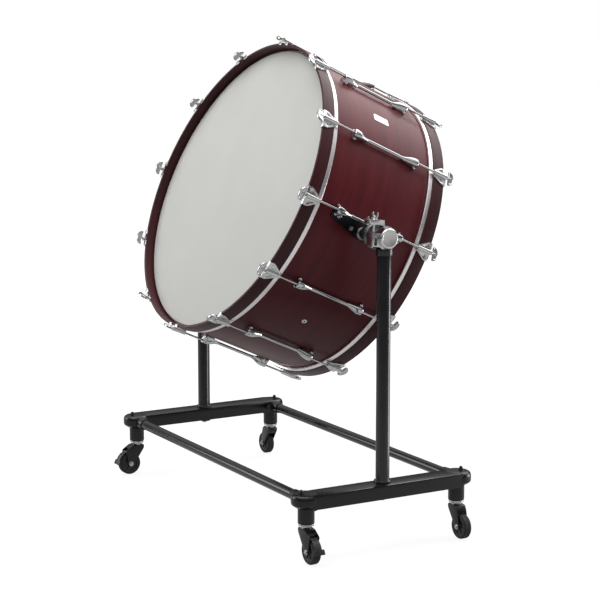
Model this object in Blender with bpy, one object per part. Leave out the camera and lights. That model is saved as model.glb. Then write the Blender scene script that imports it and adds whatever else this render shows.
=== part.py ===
"""Concert bass drum hung between the posts of a rolling stand.

Metres, +Z up. +X is the player's right seen from the batter side, where one of the two pivots is.
The batter head faces -Y and is tilted up. The origin is on the floor, under the drum's centre.
The drum's own axis is written as "axial", positive towards the batter head; "angle" goes round
that axis from +X towards the top; "up" is square to both.
"""

import math

import bmesh
import bpy
from mathutils import Matrix, Vector

# Clearances
SEAT_GAP = 0.0003
RUN_GAP = 0.0004

# Shell
SHELL_RADIUS = 0.457
SHELL_DEPTH = 0.406
SHELL_WALL = 0.009
BEARING_BEVEL = 0.005
DRUM_STEPS = 60

# Heads, each a film lapped on its metal flesh hoop
FILM_THICKNESS = 0.001
COLLAR_DROP = 0.0125
COLLAR_THICKNESS = 0.0016
FLESH_HOOP_WIDTH = 0.014
FLESH_HOOP_DEPTH = 0.0084

# Wooden counterhoops
HOOP_CLEARANCE = 0.0036
HOOP_THICKNESS = 0.008
HOOP_WIDTH = 0.0413

# Tension rods, spaced evenly round the drum, with half-moon T handles
LUG_COUNT = 12
ROD_RADIUS = 0.003
ROD_OVER_HOOP = 0.0074
LUG_LIFT = 0.0079
ROD_ENGAGEMENT = 0.014
ROD_SIDES = 6
HOLE_SIDES = 8
ROD_COLLAR_RADIUS = 0.0052
ROD_COLLAR_LENGTH = 0.003
HANDLE_STEM = 0.0035
HANDLE_WIDTH = 0.046
HANDLE_HEIGHT = 0.018
HANDLE_THICKNESS = 0.008

# Claw hooks over the front edge of each wooden hoop
CLAW_WIDTH = 0.058
CLAW_TAIL_WIDTH = 0.018
CLAW_LENGTH = 0.050
CLAW_PLATE = 0.0036
CLAW_BITE = 0.0022
CLAW_STEP = 0.0007
CLAW_LIP = 0.0035
CLAW_PRONG_WIDTH = 0.016
CLAW_SHOULDER = 0.012
CLAW_BOSS_RADIUS = 0.0072

# Tube lugs: two cast ends joined by a thin tube
LUG_LENGTH = 0.243
LUG_END_LENGTH = 0.0535
LUG_END_WIDTH = 0.026
LUG_CROWN = 0.0075
LUG_TUBE_RADIUS = 0.0052
LUG_TUBE_DROP = 0.009
LUG_EAR_SPAN = 0.036
LUG_EAR_HEIGHT = 0.0095
LUG_EAR_THICKNESS = 0.0065

# The drum's middle sits a little behind the origin
DRUM_SETBACK = 0.0034

# Pivot brackets: a tapered plate on the shell, a neck, a friction flange and a hub with a cap
TILT = math.radians(24.63)
PIVOT_HEIGHT = 0.9211
PIVOT_DROP = 0.0231
PIVOT_AHEAD = 0.0041
BRACKET_PLATE = 0.004
BRACKET_FRONT = 0.125
BRACKET_BACK = 0.055
BRACKET_TOP = 0.008
BRACKET_TIP = 0.016
BRACKET_FOOT = 0.020
NECK_RADIUS = 0.016
FLANGE_RADIUS = 0.038
FLANGE_THICKNESS = 0.016
FLANGE_TO_HUB_CAP = 0.0575
HUB_RADIUS = 0.0243
HUB_CAP_RADIUS = 0.0295
HUB_CAP_THICKNESS = 0.0135
HUB_STEPS = 24

# Stand, all of it tube
POST_SPACING = 1.1604
POST_RADIUS = 0.0205
POST_WALL = 0.0025
POST_STEPS = 16
SOCKET_RADIUS = 0.0245
SOCKET_LENGTH = 0.018
SOCKET_CLEARANCE = 0.0015
BASE_COLLAR_RADIUS = 0.0255
BASE_COLLAR_HEIGHT = 0.006
LEG_SPACING = 0.5195
BASE_SETBACK = 0.0025
RAIL_WIDTH = 0.070
RAIL_OUT = 0.006
RAIL_HEIGHT = 0.0425
RAIL_UNDERSIDE = 0.1593
RAIL_WALL = 0.003
RAIL_HOLLOW_SHORT = 0.046
RAIL_DRAIN_RADIUS = 0.005
KNUCKLE_RADIUS = 0.0425
KNUCKLE_CROWN = 0.034
KNUCKLE_EDGE = 0.010
KNUCKLE_TAPER = 0.013
KNUCKLE_OUT = 0.002
KNUCKLE_STEPS = 20
LEG_RADIUS = 0.0245
LEG_WALL = 0.004
LEG_DROP = 0.044
LEG_STEPS = 16
BAR_RADIUS = 0.0154
BAR_WALL = 0.002
BAR_STEPS = 16
BAR_SOCKET_LENGTH = 0.027
BAR_SOCKET_RADIUS = 0.0180
BAR_SOCKET_ROOT = 0.0199
BAR_SOCKET_BITE = 0.006
BAR_ENGAGEMENT = 0.020
GUSSET_LENGTH = 0.028
GUSSET_HEIGHT = 0.010
GUSSET_WIDTH = 0.030
BOLT_OUT = 0.016
BOLT_RADIUS = 0.006
BOLT_HEIGHT = 0.0125
POST_BOSS_RADIUS = 0.019
POST_BOSS_HEIGHT = 0.006

# Split clamp on each post head, closed by a wing screw
CLAMP_WALL = 0.0098
CLAMP_WIDTH = 0.035
CLAMP_MOUTH_TOP = math.radians(115)
CLAMP_MOUTH_BOTTOM = math.radians(155)
CLAMP_LEAN = math.radians(6)
CLAMP_EAR_INNER = 0.0250
CLAMP_EAR_OUTER = 0.0480
CLAMP_EAR_TOP = 0.013
CLAMP_EAR_BOTTOM = 0.026
CLAMP_BAR_LOW = 0.0375
CLAMP_BAR_HIGH = 0.0505
CLAMP_BAR_TIP = 0.0620
CLAMP_BAR_HEEL = 0.0110
CLAMP_NECK = 0.0140
SCREW_OFFSET = 0.0380
SCREW_RADIUS = 0.004
SCREW_BELOW = 0.030
WING_HUB_RADIUS = 0.009
WING_HUB_HEIGHT = 0.011
WING_SPAN = 0.032
WING_HEIGHT = 0.021
WING_THICKNESS = 0.004

# Casters
WHEEL_RADIUS = 0.0375
WHEEL_WIDTH = 0.025
WHEEL_STEPS = 20
TREAD_BEVEL = 0.004
HUB_RECESS = 0.004
HUB_RECESS_RADIUS = 0.024
AXLE_RADIUS = 0.005
CASTER_TRAIL = 0.030
SWIVEL_HEAD_RADIUS = 0.023
SWIVEL_HEAD_HEIGHT = 0.0115
SWIVEL_NECK_RADIUS = 0.016
FORK_TOP = 0.1010
FORK_WALL = 0.003
FORK_BRIDGE = 0.012
FORK_FRONT = 0.019
FORK_BACK = 0.030
FORK_CHEEK_HALF = 0.0105
FORK_SIDE_GAP = 0.0015
PEDAL_WIDTH = 0.022
PEDAL_TREAD_WIDTH = 0.038
PEDAL_THICKNESS = 0.004
PEDAL_OVER_TREAD = 0.0030
PEDAL_START = math.radians(72)
PEDAL_BARREL_RADIUS = 0.0035
PEDAL_EAR_RADIUS = 0.0060
PEDAL_END = math.radians(20)
PEDAL_TIP_LENGTH = 0.016
PEDAL_TIP_FLARE = math.radians(-62)

# Vent in the shell between the two lower lugs on the right
VENT_ANGLE = math.radians(-44.1)
VENT_RADIUS = 0.0055
VENT_FLANGE_RADIUS = 0.0085
VENT_FLANGE = 0.0015
VENT_STEPS = 16

# Where each caster points and which are braked: right or left of the drum, front or back
CASTERS = {
    "front_right": (1, -1, math.radians(0), True),
    "front_left": (-1, -1, math.radians(-90), True),
    "rear_left": (-1, 1, math.radians(180), False),
    "rear_right": (1, 1, math.radians(0), False),
}

# How far each T handle is turned at rest, from lying along the hoop, by clock position
HANDLE_TURNS_DEG = {
    1: 12, 2: -8, 3: 20, 4: -14, 5: 6, 6: 24, 7: -18, 8: 10, 9: -6, 10: 16, 11: -12, 12: 4,
}

# Worked out from the sizes above
half_depth = SHELL_DEPTH / 2
flesh_front = half_depth - COLLAR_DROP
flesh_back = flesh_front - FLESH_HOOP_WIDTH
collar_inner = SHELL_RADIUS + 2 * SEAT_GAP
flesh_radius = collar_inner + FLESH_HOOP_DEPTH
hoop_inner = SHELL_RADIUS + HOOP_CLEARANCE
hoop_radius = hoop_inner + HOOP_THICKNESS
hoop_back = flesh_front + SEAT_GAP
hoop_front = hoop_back + HOOP_WIDTH
rod_circle = hoop_radius + ROD_OVER_HOOP
rod_hole = ROD_RADIUS + RUN_GAP
claw_front = hoop_front + CLAW_LIP
lug_end = LUG_LENGTH / 2
post_x = POST_SPACING / 2
pivot_y = DRUM_SETBACK - PIVOT_DROP * math.sin(TILT) - PIVOT_AHEAD * math.cos(TILT)
leg_y = LEG_SPACING / 2
rail_top = RAIL_UNDERSIDE + RAIL_HEIGHT
bar_z = RAIL_UNDERSIDE + RAIL_HEIGHT / 2
leg_bottom = RAIL_UNDERSIDE - LEG_DROP
socket_root_x = KNUCKLE_RADIUS - BAR_SOCKET_BITE
socket_mouth_x = KNUCKLE_RADIUS + BAR_SOCKET_LENGTH
clamp_inner = HUB_RADIUS + RUN_GAP
clamp_outer = clamp_inner + CLAMP_WALL
hub_cap_inner = post_x + CLAMP_WIDTH / 2 + SEAT_GAP
flange_inner = hub_cap_inner - FLANGE_TO_HUB_CAP - FLANGE_THICKNESS
swivel_top = leg_bottom - SEAT_GAP
fork_inner = WHEEL_WIDTH / 2 + FORK_SIDE_GAP


def material(name, color, metallic, roughness):
    """A Principled material."""
    made = bpy.data.materials.new(name)
    made.use_nodes = True
    shader = made.node_tree.nodes["Principled BSDF"]
    shader.inputs["Base Color"].default_value = (*color, 1)
    shader.inputs["Metallic"].default_value = metallic
    shader.inputs["Roughness"].default_value = roughness
    made.diffuse_color = (*color, 1)
    return made


def finished(bm, name):
    """The bmesh as a mesh with its faces out, smooth but for its sharp edges."""
    bmesh.ops.remove_doubles(bm, verts=bm.verts, dist=1e-6)
    bmesh.ops.recalc_face_normals(bm, faces=bm.faces)
    mesh = bpy.data.meshes.new(name)
    bm.to_mesh(mesh)
    bm.free()
    mesh.shade_smooth()
    mesh.set_sharp_from_angle(angle=math.radians(35))
    return mesh


def turned(name, profile, steps, start=0.0):
    """A closed profile of (radius, height) points spun round Z; points on the axis make a solid."""
    bm = bmesh.new()
    turn = Matrix.Rotation(start, 3, "Z")
    points = [bm.verts.new(turn @ Vector((radius, 0, height))) for radius, height in profile]
    edges = []
    for first, second in zip(points, points[1:] + points[:1]):
        on_axis = first.co.xy.length < 1e-7 and second.co.xy.length < 1e-7
        if not on_axis:
            edges.append(bm.edges.new((first, second)))
    bmesh.ops.spin(
        bm, geom=points + edges, cent=(0, 0, 0), axis=(0, 0, 1), steps=steps, angle=2 * math.pi
    )
    bmesh.ops.remove_doubles(bm, verts=bm.verts, dist=1e-6)
    return finished(bm, name)


def extruded(name, outline, depth):
    """A flat outline of 3D points carried along the vector depth."""
    bm = bmesh.new()
    face = bm.faces.new([bm.verts.new(point) for point in outline])
    grown = bmesh.ops.extrude_face_region(bm, geom=[face])
    moved = [item for item in grown["geom"] if isinstance(item, bmesh.types.BMVert)]
    bmesh.ops.translate(bm, verts=moved, vec=depth)
    return finished(bm, name)


def lofted(name, rings):
    """Rings of as many points each, skinned in order, with flat ends."""
    bm = bmesh.new()
    loops = [[bm.verts.new(point) for point in ring] for ring in rings]
    for before, after in zip(loops, loops[1:]):
        count = len(before)
        for i in range(count):
            j = (i + 1) % count
            bm.faces.new((before[i], before[j], after[j], after[i]))
    bm.faces.new(loops[0])
    bm.faces.new(list(reversed(loops[-1])))
    return finished(bm, name)


def moved(mesh, matrix):
    """The mesh carried by the matrix."""
    mesh.transform(matrix)
    return mesh


def block(name, low, high):
    """An upright box between two corners."""
    outline = [(low[0], low[1], low[2]), (high[0], low[1], low[2]),
               (high[0], high[1], low[2]), (low[0], high[1], low[2])]
    return extruded(name, outline, (0, 0, high[2] - low[2]))


def rod(name, radius, low, high, steps, start=0.0):
    """A round bar along Z between two heights."""
    return turned(name, [(0, low), (radius, low), (radius, high), (0, high)], steps, start)


def combined(name, base, additions=(), cuts=()):
    """One mesh: the base joined with the additions, less the cuts, by exact Booleans."""
    helpers = []

    def helper(mesh):
        made = bpy.data.objects.new("helper", mesh)
        bpy.context.scene.collection.objects.link(made)
        made.hide_render = True
        made.display_type = "WIRE"
        helpers.append(made)
        return made

    body = helper(base)
    for operation, meshes in (("UNION", additions), ("DIFFERENCE", cuts)):
        for mesh in meshes:
            step = body.modifiers.new(operation, "BOOLEAN")
            step.operation = operation
            step.solver = "EXACT"
            step.object = helper(mesh)
    bpy.context.view_layer.update()
    graph = bpy.context.evaluated_depsgraph_get()
    result = bpy.data.meshes.new_from_object(body.evaluated_get(graph))
    result.name = name
    for made in helpers:
        bpy.data.objects.remove(made)
    result.shade_smooth()
    result.set_sharp_from_angle(angle=math.radians(35))
    return result


def placed(name, mesh, parent, finish, matrix=None):
    """A node: the mesh as an object under its parent, with its material."""
    mesh.materials.clear()
    mesh.materials.append(finish)
    made = bpy.data.objects.new(name, mesh)
    bpy.context.scene.collection.objects.link(made)
    made.parent = parent
    if matrix is not None:
        made.matrix_local = matrix
    return made


def empty(name, parent, matrix):
    """A frame for the pieces that share a joint's axis."""
    made = bpy.data.objects.new(name, None)
    made.empty_display_size = 0.05
    bpy.context.scene.collection.objects.link(made)
    made.parent = parent
    made.matrix_local = matrix
    return made


def along_axis(mesh):
    """Turns a piece made round Z so that its Z runs axially, towards the batter head at -Y."""
    return moved(mesh, Matrix.Rotation(math.radians(90), 4, "X"))


def lug_angle(index):
    """Where a lug sits round the drum; the pivots' lugs ride a little above the middle."""
    even = 2 * math.pi * index / LUG_COUNT
    return even + LUG_LIFT * math.cos(even) / rod_circle


def clock(index):
    """The hour nearest a lug, seen from the batter side."""
    return (3 - index * 12 // LUG_COUNT) % 12 or 12


def round_drum(angle):
    """The turn that carries a piece made at angle 0 round the drum's axis."""
    return Matrix.Rotation(-angle, 4, "Y")


def make_shell():
    """The plywood shell with a bevelled bearing edge at each end."""
    outer, inner = SHELL_RADIUS, SHELL_RADIUS - SHELL_WALL
    crest = outer - BEARING_BEVEL
    profile = [
        (inner, -half_depth), (crest, -half_depth), (outer, -half_depth + BEARING_BEVEL),
        (outer, half_depth - BEARING_BEVEL), (crest, half_depth), (inner, half_depth),
    ]
    shell = turned("shell", profile, DRUM_STEPS)
    cutter = moved(
        rod("vent_bore", VENT_RADIUS + RUN_GAP, 0.9 * inner, 1.1 * outer, VENT_STEPS), vent_turn()
    )
    return combined("shell", along_axis(shell), cuts=[cutter])


def vent_turn():
    """Carries a piece made round Z to the vent's place, pointing out of the shell."""
    return round_drum(VENT_ANGLE) @ Matrix.Rotation(math.radians(90), 4, "Y")


def make_vent():
    """A flanged tube that lines the vent hole."""
    seat = SHELL_RADIUS + SEAT_GAP
    bore = VENT_RADIUS / 2
    inner = SHELL_RADIUS - SHELL_WALL
    profile = [
        (bore, inner), (VENT_RADIUS, inner), (VENT_RADIUS, seat), (VENT_FLANGE_RADIUS, seat),
        (VENT_FLANGE_RADIUS - VENT_FLANGE / 2, seat + VENT_FLANGE), (bore, seat + VENT_FLANGE),
    ]
    return moved(turned("vent", profile, VENT_STEPS), vent_turn())


def make_head():
    """A film turned down over the bearing edge to the metal hoop that grips it."""
    crest = SHELL_RADIUS - BEARING_BEVEL
    under = half_depth + SEAT_GAP
    collar = collar_inner + COLLAR_THICKNESS
    shoulder = half_depth - BEARING_BEVEL
    profile = [
        (0, under + FILM_THICKNESS), (crest, under + FILM_THICKNESS), (collar, shoulder),
        (collar, flesh_front), (flesh_radius, flesh_front), (flesh_radius, flesh_back),
        (collar_inner, flesh_back), (collar_inner, shoulder + SEAT_GAP), (crest, under), (0, under),
    ]
    return along_axis(turned("head", profile, DRUM_STEPS))


def make_claw():
    """A claw at angle 0: a tapered plate on the hoop, two prongs over its edge and a rod boss."""
    root = hoop_radius - CLAW_BITE
    top = hoop_radius + CLAW_PLATE
    half, tail = CLAW_WIDTH / 2, CLAW_TAIL_WIDTH / 2
    front, back = claw_front - CLAW_STEP, claw_front - CLAW_LENGTH
    shoulder = hoop_front - CLAW_SHOULDER
    corners = [(half, front), (half, shoulder), (tail, back)]
    outline = [(root, -axial, side) for side, axial in corners]
    outline += [(root, -axial, -side) for side, axial in reversed(corners)]
    plate = extruded("claw", outline, (top - root, 0, 0))
    low, high = hoop_inner + CLAW_STEP, top - CLAW_STEP
    outside, inside = half - CLAW_STEP, half - CLAW_PRONG_WIDTH
    prongs = [
        block("prong", (low, CLAW_STEP - front, first), (high, 2 * CLAW_STEP - hoop_front, second))
        for first, second in ((inside, outside), (-outside, -inside))
    ]
    boss = rod(
        "boss", CLAW_BOSS_RADIUS, back - CLAW_STEP, claw_front, HOLE_SIDES, math.pi / HOLE_SIDES
    )
    boss = moved(along_axis(boss), Matrix.Translation((rod_circle, 0, 0)))
    return plate, prongs + [boss]


def rod_space(low, high):
    """A cutter at angle 0 that clears a turning rod between two axial places."""
    radius = rod_hole / math.cos(math.pi / HOLE_SIDES)
    space = along_axis(rod("rod_space", radius, low, high, HOLE_SIDES, math.pi / HOLE_SIDES))
    return moved(space, Matrix.Translation((rod_circle, 0, 0)))


def make_hoop():
    """A wooden hoop with its claws, and a running hole for each tension rod."""
    profile = [
        (hoop_inner, hoop_back), (hoop_radius, hoop_back),
        (hoop_radius, hoop_front), (hoop_inner, hoop_front),
    ]
    hoop = along_axis(turned("hoop", profile, DRUM_STEPS))
    claw_parts, holes = bmesh.new(), bmesh.new()
    plate, rest = make_claw()
    claw = combined("claw", plate, rest)
    hole = rod_space(claw_front - 2 * CLAW_LENGTH, claw_front + CLAW_LENGTH)
    for gathered, mesh in ((claw_parts, claw), (holes, hole)):
        for index in range(LUG_COUNT):
            copy = mesh.copy()
            copy.transform(round_drum(lug_angle(index)))
            gathered.from_mesh(copy)
    return combined("hoop", hoop, [finished(claw_parts, "claws")], [finished(holes, "holes")])


def lug_section(axial, half_width, low, high):
    """One ring of a lug at angle 0: flat under, round on top."""
    middle = (low + high) / 2
    return [
        (low, -axial, half_width * 0.75), (middle, -axial, half_width),
        (high - (high - low) * 0.15, -axial, half_width * 0.7), (high, -axial, half_width * 0.25),
        (high, -axial, -half_width * 0.25), (high - (high - low) * 0.15, -axial, -half_width * 0.7),
        (middle, -axial, -half_width), (low, -axial, -half_width * 0.75),
    ]


def make_lug():
    """A double-ended lug at angle 0, with a bore for a rod in each end."""
    foot = SHELL_RADIUS + SEAT_GAP
    crown = rod_circle + LUG_CROWN
    half = LUG_END_WIDTH / 2
    tube = rod_circle - LUG_TUBE_DROP
    tube_low, tube_high = tube - LUG_TUBE_RADIUS, tube + LUG_TUBE_RADIUS
    throat = lug_end - LUG_END_LENGTH
    side = [
        (throat, LUG_TUBE_RADIUS, tube_low, tube_high),
        (throat + 0.15 * LUG_END_LENGTH, 0.50 * half, tube_low, tube_high + 0.3 * LUG_TUBE_RADIUS),
        (throat + 0.45 * LUG_END_LENGTH, 0.80 * half, foot, crown - 0.35 * LUG_CROWN),
        (throat + 0.82 * LUG_END_LENGTH, half, foot, crown),
        (lug_end, 0.85 * half, foot, crown - 0.2 * LUG_CROWN),
    ]
    stations = [(-axial, *rest) for axial, *rest in reversed(side)] + side
    body = lofted("lug", [lug_section(*station) for station in stations])
    ears = []
    bores = []
    for end in (-1, 1):
        near, far = end * (lug_end - LUG_EAR_THICKNESS), end * (lug_end - SEAT_GAP)
        low, high = sorted((-near, -far))
        ears.append(block(
            "ear", (foot, low, -LUG_EAR_SPAN / 2), (foot + LUG_EAR_HEIGHT, high, LUG_EAR_SPAN / 2)
        ))
        depth = ROD_ENGAGEMENT + RUN_GAP
        low, high = sorted((end * (lug_end - depth), end * (lug_end + depth)))
        bores.append(rod_space(low, high))
    return combined("lug", body, ears, bores)


def make_bracket(side):
    """The plate, neck, flange and hub of the pivot; side is 1 on the right and -1 on the left."""
    radius_in, radius_out = SHELL_RADIUS + SEAT_GAP, SHELL_RADIUS + SEAT_GAP + BRACKET_PLATE
    foot = -PIVOT_DROP - BRACKET_FOOT
    levels = [(-BRACKET_BACK, foot), (BRACKET_FOOT, foot), (BRACKET_FRONT, -BRACKET_TIP)]
    steps = 5
    rings = []
    for axial, low in levels:
        heights = [low + (BRACKET_TOP - low) * i / steps for i in range(steps + 1)]
        ring = [(math.sqrt(radius_out**2 - z * z), -axial, z) for z in heights]
        ring += [(math.sqrt(radius_in**2 - z * z), -axial, z) for z in reversed(heights)]
        rings.append(ring)
    plate = lofted("bracket", rings)
    axle = Matrix.Translation((0, -PIVOT_AHEAD, -PIVOT_DROP)) @ Matrix.Rotation(math.radians(90), 4, "Y")
    neck_start = math.sqrt(radius_out**2 - (PIVOT_DROP + NECK_RADIUS) ** 2) - BRACKET_PLATE / 4
    profile = [
        (0, neck_start), (NECK_RADIUS, neck_start), (NECK_RADIUS, flange_inner),
        (FLANGE_RADIUS, flange_inner), (FLANGE_RADIUS, flange_inner + FLANGE_THICKNESS),
        (HUB_RADIUS, flange_inner + FLANGE_THICKNESS), (HUB_RADIUS, hub_cap_inner),
        (HUB_CAP_RADIUS, hub_cap_inner), (HUB_CAP_RADIUS, hub_cap_inner + HUB_CAP_THICKNESS),
        (0, hub_cap_inner + HUB_CAP_THICKNESS),
    ]
    hub = moved(turned("hub", profile, HUB_STEPS), axle)
    parts = [plate, hub]
    if side < 0:
        for mesh in parts:
            moved(mesh, Matrix.Scale(-1, 4, (1, 0, 0)))
            mesh.flip_normals()
    return parts


def make_tension_rod():
    """A rod along axial from its own origin in the lug's middle, with its collar and T handle."""
    start = lug_end - ROD_ENGAGEMENT
    seat = claw_front + SEAT_GAP
    stem_top = seat + ROD_COLLAR_LENGTH + HANDLE_STEM
    profile = [
        (0, start), (ROD_RADIUS, start), (ROD_RADIUS, seat), (ROD_COLLAR_RADIUS, seat),
        (ROD_COLLAR_RADIUS, seat + ROD_COLLAR_LENGTH), (ROD_RADIUS, seat + ROD_COLLAR_LENGTH),
        (ROD_RADIUS, stem_top + HANDLE_HEIGHT / 3), (0, stem_top + HANDLE_HEIGHT / 3),
    ]
    shaft = along_axis(turned("rod", profile, ROD_SIDES, math.pi / ROD_SIDES))
    half = HANDLE_WIDTH / 2
    arc = [
        (half * math.cos(angle), HANDLE_HEIGHT * math.sin(angle) ** 0.8)
        for angle in (math.radians(a) for a in (22, 58, 90, 122, 158))
    ]
    outline = [(half * 0.92, 0)] + arc + [(-half * 0.92, 0)]
    middle = HANDLE_HEIGHT * 0.42
    rings = []
    for depth, share in ((-0.5, 0.86), (0, 1), (0.5, 0.86)):
        rings.append([
            (depth * HANDLE_THICKNESS, -(stem_top + middle + (rise - middle) * share), side * share)
            for side, rise in outline
        ])
    return combined("tension_rod", shaft, [lofted("handle", rings)])


def make_rail():
    """A side rail at x = 0 with its corner sockets towards -X, its legs, bolts and post boss."""
    inside, outside = RAIL_OUT - RAIL_WIDTH / 2, RAIL_OUT + RAIL_WIDTH / 2
    rail = block("rail", (inside, -leg_y, RAIL_UNDERSIDE), (outside, leg_y, rail_top))
    boss_low = RAIL_UNDERSIDE - POST_BOSS_HEIGHT
    boss = rod("post_boss", POST_BOSS_RADIUS, boss_low, bar_z, POST_STEPS)
    additions = [boss]
    floor, roof = RAIL_UNDERSIDE + RAIL_WALL, rail_top - RAIL_WALL
    hollow = leg_y - RAIL_HOLLOW_SHORT
    cuts = [block(
        "rail_hollow", (inside + RAIL_WALL, -hollow, floor), (outside - RAIL_WALL, hollow, roof)
    )]
    cuts.append(rod("rail_drain", RAIL_DRAIN_RADIUS, boss_low - RAIL_WALL, bar_z, 12))
    for end_sign in (-1, 1):
        at = Matrix.Translation((0, end_sign * leg_y, 0))
        out = Matrix.Translation((0, end_sign * (leg_y + KNUCKLE_OUT), 0))
        knuckle = [
            (0, RAIL_UNDERSIDE - SEAT_GAP), (LEG_RADIUS, RAIL_UNDERSIDE - SEAT_GAP),
            (KNUCKLE_RADIUS, RAIL_UNDERSIDE + KNUCKLE_TAPER),
            (KNUCKLE_RADIUS, rail_top - KNUCKLE_EDGE), (KNUCKLE_CROWN, rail_top + SEAT_GAP),
            (0, rail_top + SEAT_GAP),
        ]
        additions.append(moved(turned("knuckle", knuckle, KNUCKLE_STEPS), out))
        leg_bore, leg_roof = LEG_RADIUS - LEG_WALL, RAIL_UNDERSIDE - LEG_WALL
        leg = [
            (0, leg_roof), (leg_bore, leg_roof), (leg_bore, leg_bottom), (LEG_RADIUS, leg_bottom),
            (LEG_RADIUS, bar_z), (0, bar_z),
        ]
        additions.append(moved(turned("leg", leg, LEG_STEPS), at))
        bolt = [
            (0, bar_z), (BOLT_RADIUS, bar_z), (BOLT_RADIUS, rail_top + BOLT_HEIGHT * 0.55),
            (BOLT_RADIUS * 0.6, rail_top + BOLT_HEIGHT), (0, rail_top + BOLT_HEIGHT),
        ]
        over = Matrix.Translation((0, end_sign * (leg_y + BOLT_OUT), 0))
        additions.append(moved(turned("bolt", bolt, 8), over))
        inward = at @ Matrix.Translation((0, 0, bar_z)) @ Matrix.Rotation(math.radians(90), 4, "Y")
        bore, bore_end = BAR_RADIUS + RUN_GAP, BAR_ENGAGEMENT + RUN_GAP - socket_mouth_x
        socket = [
            (0, bore_end), (bore, bore_end), (bore, -socket_mouth_x),
            (BAR_SOCKET_RADIUS, -socket_mouth_x), (BAR_SOCKET_ROOT, -socket_root_x),
            (0, -socket_root_x),
        ]
        additions.append(moved(turned("socket", socket, BAR_STEPS), inward))
        root = leg_y - LEG_RADIUS / 2
        tip = leg_y - LEG_RADIUS - GUSSET_LENGTH
        gusset = [
            (-GUSSET_WIDTH / 2, end_sign * root, RAIL_UNDERSIDE + GUSSET_HEIGHT / 2),
            (-GUSSET_WIDTH / 2, end_sign * root, RAIL_UNDERSIDE - GUSSET_HEIGHT),
            (-GUSSET_WIDTH / 2, end_sign * (leg_y - LEG_RADIUS), RAIL_UNDERSIDE - GUSSET_HEIGHT),
            (-GUSSET_WIDTH / 2, end_sign * tip, RAIL_UNDERSIDE + GUSSET_HEIGHT / 2),
        ]
        additions.append(extruded("gusset", gusset, (GUSSET_WIDTH, 0, 0)))
    return combined("rail", rail, additions, cuts)


def arc_points(radius, start, stop, steps):
    """Points (y, z) along an arc round the pivot, angles from +Y towards +Z."""
    return [
        (radius * math.cos(start + (stop - start) * i / steps),
         radius * math.sin(start + (stop - start) * i / steps))
        for i in range(steps + 1)
    ]


def make_post():
    """A post at x = 0 with its foot collar, its socket and the split clamp round the hub."""
    base = rail_top + SEAT_GAP
    socket_top = PIVOT_HEIGHT - HUB_CAP_RADIUS - SOCKET_CLEARANCE
    bore = POST_RADIUS - POST_WALL
    profile = [
        (bore, base), (BASE_COLLAR_RADIUS, base), (BASE_COLLAR_RADIUS, base + BASE_COLLAR_HEIGHT),
        (POST_RADIUS, base + BASE_COLLAR_HEIGHT), (POST_RADIUS, socket_top - SOCKET_LENGTH),
        (SOCKET_RADIUS, socket_top - SOCKET_LENGTH), (SOCKET_RADIUS, socket_top),
        (0, socket_top), (0, socket_top - SOCKET_LENGTH), (bore, socket_top - SOCKET_LENGTH),
    ]
    post = turned("post", profile, POST_STEPS)
    ear_meets = 2 * math.pi - math.acos(-CLAMP_EAR_INNER / clamp_outer)
    crown = math.acos(-CLAMP_BAR_HEEL / 2 / clamp_outer)
    outline = [(-CLAMP_EAR_OUTER, CLAMP_EAR_TOP), (-CLAMP_EAR_OUTER, -CLAMP_EAR_BOTTOM)]
    outline += [(-CLAMP_EAR_INNER, -CLAMP_EAR_BOTTOM)]
    outline += arc_points(clamp_outer, ear_meets, crown + 2 * math.pi, 14)
    outline += [
        (-CLAMP_BAR_HEEL * 0.8, CLAMP_BAR_LOW), (-CLAMP_BAR_HEEL, CLAMP_BAR_HIGH),
        (-CLAMP_BAR_TIP, CLAMP_BAR_HIGH), (-CLAMP_BAR_TIP, CLAMP_BAR_LOW),
        (-CLAMP_BAR_HEEL - CLAMP_NECK, CLAMP_BAR_LOW),
    ]
    outline += arc_points(clamp_outer, CLAMP_MOUTH_TOP - 0.1, CLAMP_MOUTH_TOP, 1)
    outline += arc_points(clamp_inner, CLAMP_MOUTH_TOP, CLAMP_MOUTH_BOTTOM - 2 * math.pi, 18)
    outline += [(-CLAMP_EAR_INNER - RUN_GAP, CLAMP_EAR_TOP)]
    clamp = extruded("clamp", [(-CLAMP_WIDTH / 2, y, z) for y, z in outline], (CLAMP_WIDTH, 0, 0))
    hub_space = rod("hub_space", clamp_inner, -CLAMP_WIDTH, CLAMP_WIDTH, HUB_STEPS)
    hub_space = moved(hub_space, Matrix.Rotation(math.radians(90), 4, "Y"))
    reach = 2 * CLAMP_BAR_HIGH
    hole = rod("screw_hole", SCREW_RADIUS + 2 * RUN_GAP, -reach, reach, 12)
    hole = moved(hole, Matrix.Translation((0, -SCREW_OFFSET, 0)))
    for mesh in (clamp, hub_space, hole):
        moved(mesh, Matrix.Translation((0, 0, PIVOT_HEIGHT)) @ Matrix.Rotation(-CLAMP_LEAN, 4, "X"))
    return combined("post", post, [clamp], [hub_space, hole])


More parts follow.
